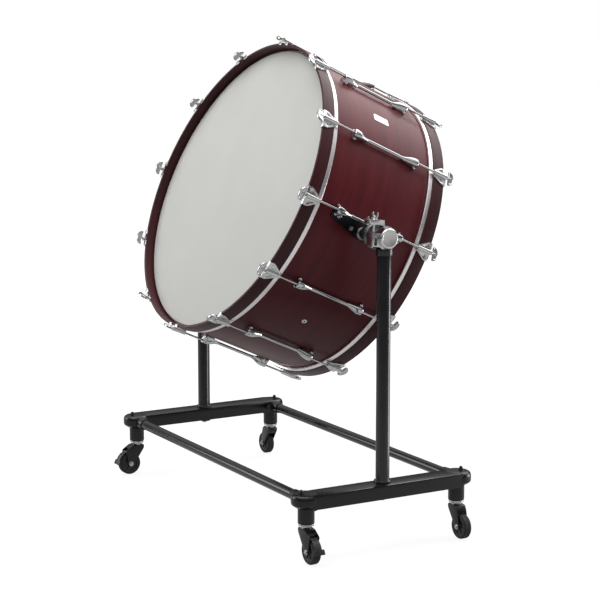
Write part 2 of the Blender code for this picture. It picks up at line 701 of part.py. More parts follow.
def make_wing_screw():
    """A wing screw standing on its own axis, its stud down through the clamp."""
    seat = CLAMP_BAR_HIGH + SEAT_GAP
    profile = [
        (0, -SCREW_BELOW), (SCREW_RADIUS, -SCREW_BELOW),
        (SCREW_RADIUS, seat), (WING_HUB_RADIUS, seat),
        (WING_HUB_RADIUS * 0.6, seat + WING_HUB_HEIGHT), (0, seat + WING_HUB_HEIGHT),
    ]
    stud = turned("stud", profile, 12)
    half = WING_SPAN / 2
    outline = [
        (0.1 * half, seat + 0.002), (0.75 * half, seat + 0.3 * WING_HEIGHT),
        (half, seat + 0.75 * WING_HEIGHT), (0.92 * half, seat + WING_HEIGHT),
        (0.62 * half, seat + 0.9 * WING_HEIGHT), (0.28 * half, seat + 0.42 * WING_HEIGHT),
        (0, seat + 0.42 * WING_HEIGHT),
    ]
    wings = []
    for side in (1, -1):
        points = [(side * x, -WING_THICKNESS / 2, z) for x, z in outline]
        wings.append(extruded("wing", points, (0, WING_THICKNESS, 0)))
    return combined("wing_screw", stud, wings)


def make_fork(braked):
    """A swivel fork: head, neck, bridge, two cheeks and the axle, trailing towards +X."""
    head = [
        (0, swivel_top), (SWIVEL_HEAD_RADIUS * 0.9, swivel_top),
        (SWIVEL_HEAD_RADIUS, swivel_top - SWIVEL_HEAD_HEIGHT / 2),
        (SWIVEL_NECK_RADIUS, swivel_top - SWIVEL_HEAD_HEIGHT),
        (SWIVEL_NECK_RADIUS, FORK_TOP - FORK_BRIDGE / 2), (0, FORK_TOP - FORK_BRIDGE / 2),
    ]
    swivel = turned("swivel", head, POST_STEPS)
    outer = fork_inner + FORK_WALL
    axle_z = WHEEL_RADIUS
    side = [(-FORK_FRONT, FORK_TOP), (FORK_BACK * 0.72, FORK_TOP)]
    if braked:
        pin_x, pin_z = pedal_pin()
        side += [
            (pin_x + PEDAL_EAR_RADIUS * 0.5, pin_z + PEDAL_EAR_RADIUS),
            (pin_x + PEDAL_EAR_RADIUS, pin_z), (pin_x + PEDAL_EAR_RADIUS * 0.5, pin_z - PEDAL_EAR_RADIUS),
        ]
    else:
        side += [(FORK_BACK, FORK_TOP - FORK_BRIDGE)]
    side += [
        (CASTER_TRAIL + FORK_CHEEK_HALF, axle_z + FORK_CHEEK_HALF * 0.4),
        (CASTER_TRAIL + FORK_CHEEK_HALF * 0.4, axle_z - FORK_CHEEK_HALF),
        (CASTER_TRAIL - FORK_CHEEK_HALF * 0.6, axle_z - FORK_CHEEK_HALF),
        (-FORK_FRONT, FORK_TOP - FORK_BRIDGE),
    ]
    body = extruded("fork", [(x, -outer, z) for x, z in side], (0, 2 * outer, 0))
    space_top = 2 * WHEEL_RADIUS + 2 * FORK_SIDE_GAP
    far = 3 * FORK_BACK
    cuts = [block("slot", (-2 * FORK_FRONT, -fork_inner, 0), (far, fork_inner, space_top))]
    if braked:
        near = pin_x - 2 * PEDAL_BARREL_RADIUS
        cuts.append(block("pedal_space", (near, -fork_inner, axle_z), (far, fork_inner, 2 * FORK_TOP)))
    axle = rod("axle", AXLE_RADIUS, -outer, outer, 12)
    axle = moved(
        axle,
        Matrix.Translation((CASTER_TRAIL, 0, axle_z)) @ Matrix.Rotation(math.radians(90), 4, "X"),
    )
    cheeks = combined("cheeks", body, cuts=cuts)
    return combined("fork", cheeks, [swivel, axle])


def make_wheel():
    """A wheel round its own centre, axle along Y, with a recessed hub and a running bore."""
    half, bore = WHEEL_WIDTH / 2, AXLE_RADIUS + RUN_GAP
    profile = [
        (bore, -half + HUB_RECESS), (HUB_RECESS_RADIUS, -half + HUB_RECESS),
        (HUB_RECESS_RADIUS + HUB_RECESS / 2, -half), (WHEEL_RADIUS - TREAD_BEVEL, -half),
        (WHEEL_RADIUS, -half + TREAD_BEVEL), (WHEEL_RADIUS, half - TREAD_BEVEL),
        (WHEEL_RADIUS - TREAD_BEVEL, half), (HUB_RECESS_RADIUS + HUB_RECESS / 2, half),
        (HUB_RECESS_RADIUS, half - HUB_RECESS), (bore, half - HUB_RECESS),
    ]
    wheel = turned("wheel", profile, WHEEL_STEPS, math.pi / WHEEL_STEPS)
    turn = Matrix.Rotation(math.radians(90), 4, "X") @ Matrix.Rotation(math.pi / WHEEL_STEPS, 4, "Z")
    return moved(wheel, turn)


def pedal_point(angle, over):
    """A point over the tread, by angle up from +X round the axle."""
    radius = WHEEL_RADIUS + over
    return CASTER_TRAIL + radius * math.cos(angle), WHEEL_RADIUS + radius * math.sin(angle)


def pedal_pin():
    """The pedal's hinge, in the middle of the arch's thickness."""
    return pedal_point(PEDAL_START, PEDAL_OVER_TREAD + PEDAL_THICKNESS / 2)


def make_pedal():
    """A brake pedal from its barrel between the cheeks over the tread to its foot plate."""
    steps = 4
    angles = [PEDAL_START + (PEDAL_END - PEDAL_START) * i / steps for i in range(steps + 1)]
    under = [pedal_point(angle, PEDAL_OVER_TREAD) for angle in angles]
    over = [pedal_point(angle, PEDAL_OVER_TREAD + PEDAL_THICKNESS) for angle in angles]
    direction = Vector((math.cos(PEDAL_TIP_FLARE), math.sin(PEDAL_TIP_FLARE)))
    under.append(tuple(Vector(under[-1]) + direction * PEDAL_TIP_LENGTH))
    over.append(tuple(Vector(over[-1]) + direction * PEDAL_TIP_LENGTH))
    outline = under + over[::-1]
    half = PEDAL_WIDTH / 2
    arch = extruded("pedal", [(x, -half, z) for x, z in outline], (0, PEDAL_WIDTH, 0))
    tread = under[-2:] + over[-2:][::-1]
    half = PEDAL_TREAD_WIDTH / 2
    plate = extruded("foot", [(x, -half, z) for x, z in tread], (0, PEDAL_TREAD_WIDTH, 0))
    half = fork_inner - SEAT_GAP
    barrel = rod("barrel", PEDAL_BARREL_RADIUS, -half, half, 10)
    pin_x, pin_z = pedal_pin()
    place = Matrix.Translation((pin_x, 0, pin_z)) @ Matrix.Rotation(math.radians(90), 4, "X")
    pedal = combined("pedal", arch, [plate, moved(barrel, place)])
    return moved(pedal, Matrix.Translation((-pin_x, 0, -pin_z)))


def clear_scene():
    """Removes whatever the scene starts with."""
    for obj in list(bpy.data.objects):
        bpy.data.objects.remove(obj)


def make_drum(finish):
    """The shell, heads, hoops, lugs, pivots and tension rods, tilted about the pivot axis."""
    pivot = empty(
        "drum_pivot", None,
        Matrix.Translation((0, pivot_y, PIVOT_HEIGHT)) @ Matrix.Rotation(-TILT, 4, "X"),
    )
    drum = empty("drum_centre", pivot, Matrix.Translation((0, PIVOT_AHEAD, PIVOT_DROP)))
    placed("shell", make_shell(), drum, finish["lacquered_wood"])
    placed("vent", make_vent(), drum, finish["chrome"])
    head, hoop, lug = make_head(), make_hoop(), make_lug()
    about_face = Matrix.Rotation(math.pi, 4, "Z")
    for name, turn in (("batter", Matrix.Identity(4)), ("resonant", about_face)):
        placed(f"{name}_head", head, drum, finish["head_film"], turn)
        placed(f"{name}_hoop", hoop, drum, finish["lacquered_wood"], turn)
    tension_rod = make_tension_rod()
    for index in range(LUG_COUNT):
        turn = round_drum(lug_angle(index))
        if index * 2 % LUG_COUNT:
            placed(f"lug_{clock(index):02d}", lug, drum, finish["chrome"], turn)
        else:
            side, name = (1, "pivot_lug_right") if index == 0 else (-1, "pivot_lug_left")
            own = combined(name, moved(lug.copy(), turn), make_bracket(side))
            placed(name, own, drum, finish["chrome"])
        handle_turn = Matrix.Rotation(math.radians(HANDLE_TURNS_DEG[clock(index)]), 4, "Y")
        for name, face in (("batter", Matrix.Identity(4)), ("resonant", about_face)):
            hour = clock(index)
            place = turn @ Matrix.Translation((rod_circle, 0, 0)) @ face @ handle_turn
            placed(f"{name}_rod_{hour:02d}", tension_rod, drum, finish["chrome"], place)


def make_stand(finish):
    """The rails, cross bars, posts and wing screws."""
    rail, post, screw = make_rail(), make_post(), make_wing_screw()
    half_turn = Matrix.Rotation(math.pi, 4, "Z")
    back = Matrix.Translation((0, BASE_SETBACK, 0))
    for name, side, turn in (("right", 1, Matrix.Identity(4)), ("left", -1, half_turn)):
        at = Matrix.Translation((side * post_x, pivot_y, 0))
        placed(f"side_rail_{name}", rail, None, finish["black_steel"], at @ back @ turn)
        placed(f"post_{name}", post, None, finish["black_steel"], at)
        lean = Matrix.Rotation(-CLAMP_LEAN, 4, "X") @ Matrix.Translation((0, -SCREW_OFFSET, 0))
        axis = empty(
            f"wing_screw_axis_{name}", None,
            Matrix.Translation((side * post_x, pivot_y, PIVOT_HEIGHT)) @ lean,
        )
        placed(f"wing_screw_{name}", screw, axis, finish["chrome"])
    reach = post_x - socket_mouth_x + BAR_ENGAGEMENT
    bore = BAR_RADIUS - BAR_WALL
    profile = [(bore, -reach), (BAR_RADIUS, -reach), (BAR_RADIUS, reach), (bore, reach)]
    bar = moved(turned("bar", profile, BAR_STEPS), Matrix.Rotation(math.radians(90), 4, "Y"))
    for name, side in (("front", -1), ("rear", 1)):
        place = back @ Matrix.Translation((0, pivot_y + side * leg_y, bar_z))
        placed(f"{name}_cross_bar", bar, None, finish["black_steel"], place)


def make_casters(finish):
    """Four swivel casters, two of them braked; each pedal's origin is on its hinge."""
    forks = {braked: make_fork(braked) for braked in (True, False)}
    wheel, pedal = make_wheel(), make_pedal()
    pin_x, pin_z = pedal_pin()
    for name, (side_x, side_y, heading, braked) in CASTERS.items():
        leg = pivot_y + BASE_SETBACK + side_y * leg_y
        place = Matrix.Translation((side_x * post_x, leg, 0))
        swivel = empty(
            f"caster_{name}", None, place @ Matrix.Rotation(heading, 4, "Z")
        )
        placed(f"caster_fork_{name}", forks[braked], swivel, finish["chrome"])
        axle = Matrix.Translation((CASTER_TRAIL, 0, WHEEL_RADIUS))
        placed(f"caster_wheel_{name}", wheel, swivel, finish["black_rubber"], axle)
        if braked:
            hinge = Matrix.Translation((pin_x, 0, pin_z))
            placed(f"brake_pedal_{name}", pedal, swivel, finish["black_plastic"], hinge)


def main():
    """Builds the whole object."""
    clear_scene()
    finish = {
        "lacquered_wood": material("lacquered_wood", (0.09, 0.018, 0.016), 0.0, 0.3),
        "head_film": material("head_film", (0.80, 0.79, 0.75), 0.0, 0.6),
        "chrome": material("chrome", (0.80, 0.80, 0.80), 1.0, 0.12),
        "black_steel": material("black_steel", (0.025, 0.025, 0.027), 0.2, 0.4),
        "black_rubber": material("black_rubber", (0.02, 0.02, 0.02), 0.0, 0.7),
        "black_plastic": material("black_plastic", (0.02, 0.02, 0.02), 0.0, 0.45),
    }
    make_drum(finish)
    make_stand(finish)
    make_casters(finish)


main()
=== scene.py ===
"""Looks for a concert bass drum that hangs between the posts of a rolling stand.

Metres, +Z up. Pieces of the drum are made in the drum's own frame: x across, -y towards the
batter head, z square to both. What goes round the drum is made at 3 o'clock and turned from there.
"""

import math

import bmesh
import bpy
from mathutils import Matrix, Vector


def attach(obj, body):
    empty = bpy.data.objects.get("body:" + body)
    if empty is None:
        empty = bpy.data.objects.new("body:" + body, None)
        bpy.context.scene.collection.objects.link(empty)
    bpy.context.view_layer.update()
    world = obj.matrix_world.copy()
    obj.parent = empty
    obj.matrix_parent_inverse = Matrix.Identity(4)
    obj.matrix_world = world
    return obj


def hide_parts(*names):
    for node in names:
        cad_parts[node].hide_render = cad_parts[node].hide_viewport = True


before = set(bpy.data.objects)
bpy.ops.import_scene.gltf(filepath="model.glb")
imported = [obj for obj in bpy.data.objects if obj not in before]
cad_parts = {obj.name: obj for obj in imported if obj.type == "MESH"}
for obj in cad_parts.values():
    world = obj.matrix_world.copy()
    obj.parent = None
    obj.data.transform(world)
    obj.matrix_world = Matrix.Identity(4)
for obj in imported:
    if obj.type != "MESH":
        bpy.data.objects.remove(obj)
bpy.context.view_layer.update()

# Sizes of the frame that the pieces follow
SHELL_RADIUS = 0.457
HALF_DEPTH = 0.203
SHELL_WALL = 0.009
BEARING_BEVEL = 0.005
FLESH_FRONT = 0.1905
FLESH_WIDTH = 0.014
FLESH_RADIUS = 0.466
HOOP_INNER = 0.4606
HOOP_RADIUS = 0.4686
HOOP_BACK = 0.1908
HOOP_FRONT = 0.2321
ROD_CIRCLE = 0.476
CLAW_FRONT = 0.2356
CLAW_BACK = 0.1856
CLAW_TOP = 0.4722
LUG_END = 0.1215
LUG_LIFT = 0.0079
LUGS = 12
VENT_DEG = -44.1
PLATE_DEG = 46
TILT = math.radians(24.63)
PIVOT = Vector((0, -0.009954, 0.9211))
PIVOT_DROP = 0.0231
PIVOT_AHEAD = 0.0041
POST_X = 0.5802
CLAMP_LEAN = math.radians(6)
CLAMP_HALF = 0.0175
CLAMP_FOOT = 0.0295
WING_AXIS = 0.038
WING_SEAT = 0.0508
BASE_Y = -0.007454
LEG_Y = 0.25975
RAIL_LOW = 0.1593
RAIL_TOP = 0.2018
RAIL_HALF = 0.035
RAIL_SHIFT = 0.006
BAR_Z = 0.18055
SOCKET_REACH = 0.0695
LEG_LOW = 0.1153
WHEEL_RADIUS = 0.0375
CASTER_TRAIL = 0.030

# Gaps between pieces: to the shell's skin, and where two parts of the frame rest on each other
ON_SHELL = 0.0002
SEAT_GAP = 0.0003

# How round the round pieces are
FINE = 192
TURNED = 72
MEDIUM = 48
BOSS = 32
SMALL = 24
SHARP_DEG = 32
FLAT_DEG = 0.5

# Camera fitted to the outline
CAMERA_PLACE = (4.924, -2.760, 1.573)
CAMERA_AIM = (-0.85786, 0.48834, -0.15999)
CAMERA_LENS_MM = 108.46
SENSOR_MM = 36

# The stage
FLOOR_RADIUS = 14
FLOOR_Z = -0.0002
FLOOR_IN_METAL = 0.54
SKY_IN_METAL = 1.4

# How far each hour's handles are turned
HANDLE_TURNS_DEG = {
    1: 12, 2: -8, 3: 20, 4: -14, 5: 6, 6: 6, 7: -18, 8: 10, 9: -6, 10: 16, 11: -12, 12: 0,
}
SIDES = ((1, "right"), (-1, "left"))
# Side in x, side in y, heading in degrees, brake
CASTERS = {
    "front_right": (1, -1, 0, True),
    "front_left": (-1, -1, -90, True),
    "rear_left": (-1, 1, 180, False),
    "rear_right": (1, 1, 0, False),
}


# ---- mesh helpers ----


def finished(bm, name):
    """The bmesh as a mesh with its faces out, smooth but for its sharp edges."""
    bmesh.ops.remove_doubles(bm, verts=bm.verts, dist=1e-6)
    bmesh.ops.recalc_face_normals(bm, faces=bm.faces)
    mesh = bpy.data.meshes.new(name)
    bm.to_mesh(mesh)
    bm.free()
    mesh.shade_smooth()
    mesh.set_sharp_from_angle(angle=math.radians(SHARP_DEG))
    return mesh


def filleted(points, radius, steps=3):
    """A closed flat outline with its corners rounded; corners on the turning axis stay."""
    made = []
    for i, here in enumerate(points):
        here = Vector(here)
        before, after = Vector(points[i - 1]), Vector(points[(i + 1) % len(points)])
        size = min(radius, (before - here).length * 0.45, (after - here).length * 0.45)
        if size <= 0 or abs(here.x) < 1e-7:
            made.append(tuple(here))
            continue
        first = here + (before - here).normalized() * size
        last = here + (after - here).normalized() * size
        for k in range(steps + 1):
            t = k / steps
            made.append(tuple(first * (1 - t) ** 2 + here * 2 * t * (1 - t) + last * t * t))
    return made


def mirrored(half):
    """A profile of (radius, height) and its mirror image in height, as one outline."""
    return half + [(r, -h) for r, h in reversed(half)]


def spun(name, profile, steps, radius=0.0):
    """A closed profile of (radius, height) spun round Z, its corners rounded."""
    bm = bmesh.new()
    outline = filleted(profile, radius) if radius else profile
    points = [bm.verts.new((r, 0, h)) for r, h in outline]
    edges = []
    for first, second in zip(points, points[1:] + points[:1]):
        if first.co.xy.length > 1e-7 or second.co.xy.length > 1e-7:
            edges.append(bm.edges.new((first, second)))
    bmesh.ops.spin(
        bm, geom=points + edges, cent=(0, 0, 0), axis=(0, 0, 1), steps=steps, angle=2 * math.pi
    )
    return finished(bm, name)


def extruded(name, outline, depth, bevel=0.0):
    """A flat outline of 3D points carried along the vector depth, its edges eased by bevel."""
    bm = bmesh.new()
    face = bm.faces.new([bm.verts.new(point) for point in outline])
    grown = bmesh.ops.extrude_face_region(bm, geom=[face])
    far = [item for item in grown["geom"] if isinstance(item, bmesh.types.BMVert)]
    bmesh.ops.translate(bm, verts=far, vec=depth)
    eased(bm, bevel)
    return finished(bm, name)


def eased(bm, bevel, angle=25):
    """Rounds the bmesh's sharp edges."""
    if not bevel:
        return
    bmesh.ops.recalc_face_normals(bm, faces=bm.faces)
    bm.normal_update()
    edges = [e for e in bm.edges if e.is_manifold and e.calc_face_angle() > math.radians(angle)]
    bmesh.ops.bevel(
        bm, geom=edges, offset=bevel, segments=2, profile=0.6, affect="EDGES", clamp_overlap=True
    )


def lofted(name, rings):
    """Rings of as many points each, skinned in order, with flat ends."""
    bm = bmesh.new()
    loops = [[bm.verts.new(point) for point in ring] for ring in rings]
    for before, after in zip(loops, loops[1:]):
        count = len(before)
        for i in range(count):
            j = (i + 1) % count
            bm.faces.new((before[i], before[j], after[j], after[i]))
    bm.faces.new(loops[0])
    bm.faces.new(list(reversed(loops[-1])))
    return finished(bm, name)


def block(name, low, high, bevel=0.0):
    """A box between two corners, its edges eased by bevel."""
    outline = [(low[0], low[1], low[2]), (high[0], low[1], low[2]),
               (high[0], high[1], low[2]), (low[0], high[1], low[2])]
    return extruded(name, outline, (0, 0, high[2] - low[2]), bevel)


def rod(name, radius, low, high, steps=MEDIUM, edge=0.0005):
    """A round bar along Z with eased ends."""
    return spun(name, [(0, low), (radius, low), (radius, high), (0, high)], steps, edge)


def placed(name, data):
    """A new object in the scene."""
    made = bpy.data.objects.new(name, data)
    bpy.context.scene.collection.objects.link(made)
    return made


def moved(mesh, matrix):
    """The mesh carried by the matrix, still facing out."""
    mesh.transform(matrix)
    if matrix.determinant() < 0:
        mesh.flip_normals()
    return mesh


def gathered(name, meshes):
    """Several meshes as one."""
    bm = bmesh.new()
    for mesh in meshes:
        bm.from_mesh(mesh)
    made = bpy.data.meshes.new(name)
    bm.to_mesh(made)
    bm.free()
    return made


def sorted_by_place(bm):
    """Puts what a Boolean made in an order that is the same each run."""
    slant = Vector((0.6180, 0.4142, 0.7321))
    bm.verts.sort(key=lambda vert: vert.co.dot(slant))
    bm.edges.sort(key=lambda edge: (edge.verts[0].co + edge.verts[1].co).dot(slant))
    bm.faces.sort(key=lambda face: face.calc_center_median().dot(slant))


def cut(name, base, cuts=(), additions=(), bevel=0.0):
    """The base joined with the additions, less the cuts, by exact Booleans."""
    body = placed("helper", base)
    helpers = [body]
    for operation, meshes in (("UNION", additions), ("DIFFERENCE", cuts)):
        for mesh in meshes:
            step = body.modifiers.new(operation, "BOOLEAN")
            step.operation = operation
            step.solver = "EXACT"
            step.object = placed("helper", mesh)
            helpers.append(step.object)
    bpy.context.view_layer.update()
    graph = bpy.context.evaluated_depsgraph_get()
    bm = bmesh.new()
    bm.from_mesh(body.evaluated_get(graph).to_mesh())
    for made in helpers:
        bpy.data.objects.remove(made)
    sorted_by_place(bm)
    bmesh.ops.dissolve_limit(
        bm, angle_limit=math.radians(FLAT_DEG), verts=bm.verts, edges=bm.edges
    )
    eased(bm, bevel)
    return finished(bm, name)


def shift(x, y, z):
    """The matrix of a move."""
    return Matrix.Translation((x, y, z))


def turn(degrees, axis):
    """The matrix of a turn about an axis."""
    return Matrix.Rotation(math.radians(degrees), 4, axis)


def axial(mesh):
    """Turns a piece made round Z so that its Z runs towards the batter head at -Y."""
    return moved(mesh, turn(90, "X"))


def lug_angle(index):
    """A lug's angle up from 3 o'clock; the ring of lugs sits a little high."""
    even = 2 * math.pi * index / LUGS
    return even + LUG_LIFT * math.cos(even) / ROD_CIRCLE


def hour_of(index):
    """The hour on a clock face, seen from the batter side, at which a lug stands."""
    return (3 - index) % LUGS or LUGS


def round_drum(angle):
    """The turn from 3 o'clock to an angle round the drum."""
    return Matrix.Rotation(-angle, 4, "Y")


HINGE = Matrix.Translation(PIVOT) @ Matrix.Rotation(-TILT, 4, "X")
DRUM = HINGE @ shift(0, PIVOT_AHEAD, PIVOT_DROP)
ABOUT_FACE = turn(180, "Z")
FACES = (("batter", Matrix.Identity(4)), ("resonant", ABOUT_FACE))


# ---- materials ----


def fill(node, **values):
    """Sets a node's sockets, each named with _ for a space."""
    for key, value in values.items():
        node.inputs[key.replace("_", " ")].default_value = value


class Nodes:
    """A material's node tree with short ways to add and join nodes."""

    def __init__(self, name):
        self.material = bpy.data.materials.new(name)
        self.material.use_nodes = True
        self.tree = self.material.node_tree
        self.shader = self.tree.nodes["Principled BSDF"]
        self.place = self.add("ShaderNodeTexCoord").outputs["Object"]

    def add(self, kind, **values):
        node = self.tree.nodes.new(kind)
        for key, value in values.items():
            setattr(node, key, value)
        return node

    def join(self, source, target):
        self.tree.links.new(source, target)

    def scaled(self, x, y, z):
        node = self.add("ShaderNodeMapping")
        fill(node, Scale=(x, y, z))
        self.join(self.place, node.inputs["Vector"])
        return node.outputs["Vector"]

    def noise(self, scale, detail=4, rough=0.55, vector=None, distortion=0.0):
        node = self.add("ShaderNodeTexNoise")
        fill(node, Scale=scale, Detail=detail, Roughness=rough, Distortion=distortion)
        self.join(vector or self.place, node.inputs["Vector"])
        return node.outputs["Fac"]

    def ramp(self, source, stops):
        node = self.add("ShaderNodeValToRGB")
        marks = node.color_ramp.elements
        while len(marks) < len(stops):
            marks.new(0.5)
        for mark, (at, color) in zip(marks, stops):
            mark.position = at
            mark.color = (*color, 1)
        self.join(source, node.inputs["Fac"])
        return node.outputs["Color"]

    def spread(self, source, low, high, start=0.0, stop=1.0):
        node = self.add("ShaderNodeMapRange")
        fill(node, From_Min=start, From_Max=stop, To_Min=low, To_Max=high)
        self.join(source, node.inputs["Value"])
        return node.outputs["Result"]

    def mix(self, share, first, second, blend="MIX"):
        node = self.add("ShaderNodeMix", data_type="RGBA", blend_type=blend)
        share_socket, first_socket, second_socket = node.inputs[0], node.inputs[6], node.inputs[7]
        for socket, value in (
            (share_socket, share), (first_socket, first), (second_socket, second),
        ):
            if isinstance(value, (int, float)):
                socket.default_value = value
            elif isinstance(value, tuple):
                socket.default_value = (*value, 1)
            else:
                self.join(value, socket)
        color_socket = 2
        return node.outputs[color_socket]

    def bump(self, source, strength, distance):
        node = self.add("ShaderNodeBump")
        fill(node, Strength=strength, Distance=distance)
        self.join(source, node.inputs["Height"])
        before = self.shader.inputs["Normal"].links
        if before:
            self.join(before[0].from_socket, node.inputs["Normal"])
        self.join(node.outputs["Normal"], self.shader.inputs["Normal"])

    def set(self, **values):
        fill(self.shader, **values)

    def feed(self, source, name):
        self.join(source, self.shader.inputs[name])


def wood(name, dark, middle, light, rough, coat, coat_rough):
    """Stained and lacquered wood with its grain running round the drum."""
    n = Nodes(name)
    figure = n.noise(1.0, 5, 0.6, n.scaled(1.6, 34, 1.6), 0.6)
    streaks = n.noise(1.0, 4, 0.7, n.scaled(9, 420, 9))
    pores = n.noise(1.0, 2, 0.5, n.scaled(46, 1500, 46))
    clouds = n.noise(3.2, 3, 0.5)
    base = n.ramp(figure, [(0.28, dark), (0.52, middle), (0.76, light)])
    fine = n.spread(streaks, 0.86, 1.12, 0.3, 0.7)
    base = n.mix(1.0, base, fine, "MULTIPLY")
    base = n.mix(1.0, base, n.spread(clouds, 0.90, 1.08, 0.3, 0.7), "MULTIPLY")
    flecks = n.spread(pores, 0.0, 0.45, 0.62, 0.80)
    n.feed(n.mix(flecks, base, tuple(0.45 * c for c in dark)), "Base Color")
    n.feed(n.spread(streaks, rough - 0.04, rough + 0.06, 0.3, 0.7), "Roughness")
    n.bump(pores, 0.10, 0.00010)
    n.bump(n.noise(26, 2, 0.4), 0.05, 0.0005)
    n.set(Coat_Weight=coat, Coat_Roughness=coat_rough, Coat_IOR=1.5, Specular_IOR_Level=0.18)
    return n.material


def film(name, color):
    """A coated drum film: matte off-white with the faint mottle of its coating."""
    n = Nodes(name)
    cloud = n.noise(5, 4, 0.55)
    speckle = n.noise(900, 2, 0.6)
    base = n.mix(n.spread(cloud, 0, 1, 0.32, 0.68), tuple(0.955 * c for c in color), color)
    base = n.mix(1.0, base, n.spread(speckle, 0.975, 1.02, 0.3, 0.7), "MULTIPLY")
    n.feed(base, "Base Color")
    n.feed(n.spread(speckle, 0.52, 0.66, 0.3, 0.7), "Roughness")
    n.bump(speckle, 0.18, 0.00012)
    n.set(Specular_IOR_Level=0.4)
    return n.material


def plated(name, color, rough, haze=0.05):
    """Bright plating with a trace of polishing haze and slow waviness."""
    n = Nodes(name)
    smear = n.noise(38, 4, 0.6)
    fine = n.noise(420, 3, 0.6)
    hazed = tuple(0.9 * c for c in color)
    n.feed(n.mix(n.spread(smear, 0, 1, 0.3, 0.7), hazed, color), "Base Color")
    n.feed(n.spread(smear, rough, rough + haze, 0.35, 0.7), "Roughness")
    n.bump(fine, 0.05, 0.00006)
    n.bump(n.noise(60, 2, 0.4), 0.06, 0.0004)
    n.set(Metallic=1.0)
    return n.material


def brushed(name, color, rough):
    """Aluminium drawn round the drum, its fine lines along its length."""
    n = Nodes(name)
    lines = n.noise(1.0, 3, 0.6, n.scaled(14, 2600, 14))
    n.feed(n.mix(lines, tuple(0.86 * c for c in color), color), "Base Color")
    n.feed(n.spread(lines, rough - 0.05, rough + 0.1, 0.3, 0.7), "Roughness")
    n.bump(lines, 0.12, 0.00008)
    n.set(Metallic=1.0)
    return n.material


def painted(name, color, rough, peel=0.10, edge=0.5):
    """Satin black paint on steel: orange peel, a cloudy lighter tone and edges rubbed lighter."""
    n = Nodes(name)
    skin = n.noise(700, 3, 0.5)
    cloud = n.noise(9, 4, 0.6)
    worn = n.add("ShaderNodeNewGeometry").outputs["Pointiness"]
    rubbed = n.spread(worn, 0.0, edge, 0.52, 0.60)
    base = n.mix(n.spread(cloud, 0, 1, 0.3, 0.7), color, tuple(1.35 * c for c in color))
    n.feed(n.mix(rubbed, base, tuple(2.2 * c for c in color)), "Base Color")
    n.feed(n.spread(cloud, rough - 0.04, rough + 0.07, 0.3, 0.7), "Roughness")
    n.bump(skin, peel, 0.00015)
    n.set(Specular_IOR_Level=0.38)
    return n.material


def rubber(name, color):
    """Matte rubber with scuffs and a little dust."""
    n = Nodes(name)
    dust = n.noise(60, 5, 0.7)
    grain = n.noise(1400, 2, 0.6)
    n.feed(n.mix(n.spread(dust, 0, 0.6, 0.5, 0.8), color, (0.09, 0.088, 0.083)), "Base Color")
    n.feed(n.spread(dust, 0.62, 0.85, 0.3, 0.7), "Roughness")
    n.bump(grain, 0.3, 0.0002)
    return n.material


def plastic(name, color, rough):
    """Moulded plastic with a fine eroded texture."""
    n = Nodes(name)
    grain = n.noise(1100, 3, 0.6)
    n.feed(n.mix(grain, color, tuple(1.5 * c for c in color)), "Base Color")
    n.feed(n.spread(grain, rough - 0.06, rough + 0.1, 0.3, 0.7), "Roughness")
    n.bump(grain, 0.25, 0.00015)
    return n.material


SHELL_WOOD = wood(
    "shell_wood", (0.088, 0.0102, 0.0148), (0.120, 0.0132, 0.0186), (0.155, 0.0165, 0.0220),
    rough=0.38, coat=0.08, coat_rough=0.20,
)
# Painted shade: the hoops' wood is darker and less red than the shell's, standing in for the shade
# on their outer faces.
SHADED_HOOP_WOOD = wood(
    "hoop_wood_painted_shade", (0.043, 0.0100, 0.0122), (0.056, 0.0122, 0.0150), (0.072, 0.0155, 0.0180),
    rough=0.40, coat=0.08, coat_rough=0.20,
)
FILM = film("coated_film", (0.590, 0.592, 0.560))
CHROME = plated("chrome_plating", (0.50, 0.505, 0.51), 0.10)
DULL_CHROME = plated("cast_plating", (0.64, 0.64, 0.635), 0.24, 0.10)
RING_METAL = brushed("drawn_aluminium", (0.86, 0.81, 0.815), 0.30)
DARK_STEEL = plated("dark_plating", (0.20, 0.205, 0.21), 0.28, 0.10)
BLACK_PAINT = painted("satin_black_paint", (0.0052, 0.0050, 0.0066), 0.21)
# Painted light: the posts' black paint is about five times lighter than the rails', standing in for
# the light the posts catch.
LIT_POST_PAINT = painted("post_black_paint_painted_light", (0.0290, 0.0275, 0.0310), 0.13, 0.05)
BAR_PAINT = painted("bar_black_paint", (0.0080, 0.0077, 0.0090), 0.12, 0.05)
TOP_PAINT = painted("casting_black_paint", (0.0085, 0.0088, 0.0095), 0.42, 0.2)
TREAD = rubber("tread_rubber", (0.010, 0.010, 0.010))
MOULDED = plastic("moulded_plastic", (0.012, 0.012, 0.013), 0.42)


def piece(name, mesh, finish, body, place, nodes=()):
    """A visible piece with its material, riding on a CAD body and standing for CAD nodes."""
    if not mesh.materials:
        mesh.materials.append(finish)
    made = placed(name, mesh)
    made.matrix_world = place
    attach(made, body)
    if nodes:
        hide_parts(*nodes)
    return made


# ---- fasteners ----


def screw_head(radius=0.0042, height=0.0026):
    """A cross-slotted pan head standing on z = 0."""
    head = spun("screw", [
        (0, -0.0008), (radius, -0.0008), (radius, height * 0.45), (radius * 0.72, height),
        (0, height),
    ], SMALL, 0.0006)
    arm, deep = radius * 0.52, height * 0.45
    slots = [
        block("slot", (-arm, -radius * 0.11, deep), (arm, radius * 0.11, height * 2)),
        block("slot", (-radius * 0.11, -arm, deep), (radius * 0.11, arm, height * 2)),
    ]
    return cut("screw", head, slots)


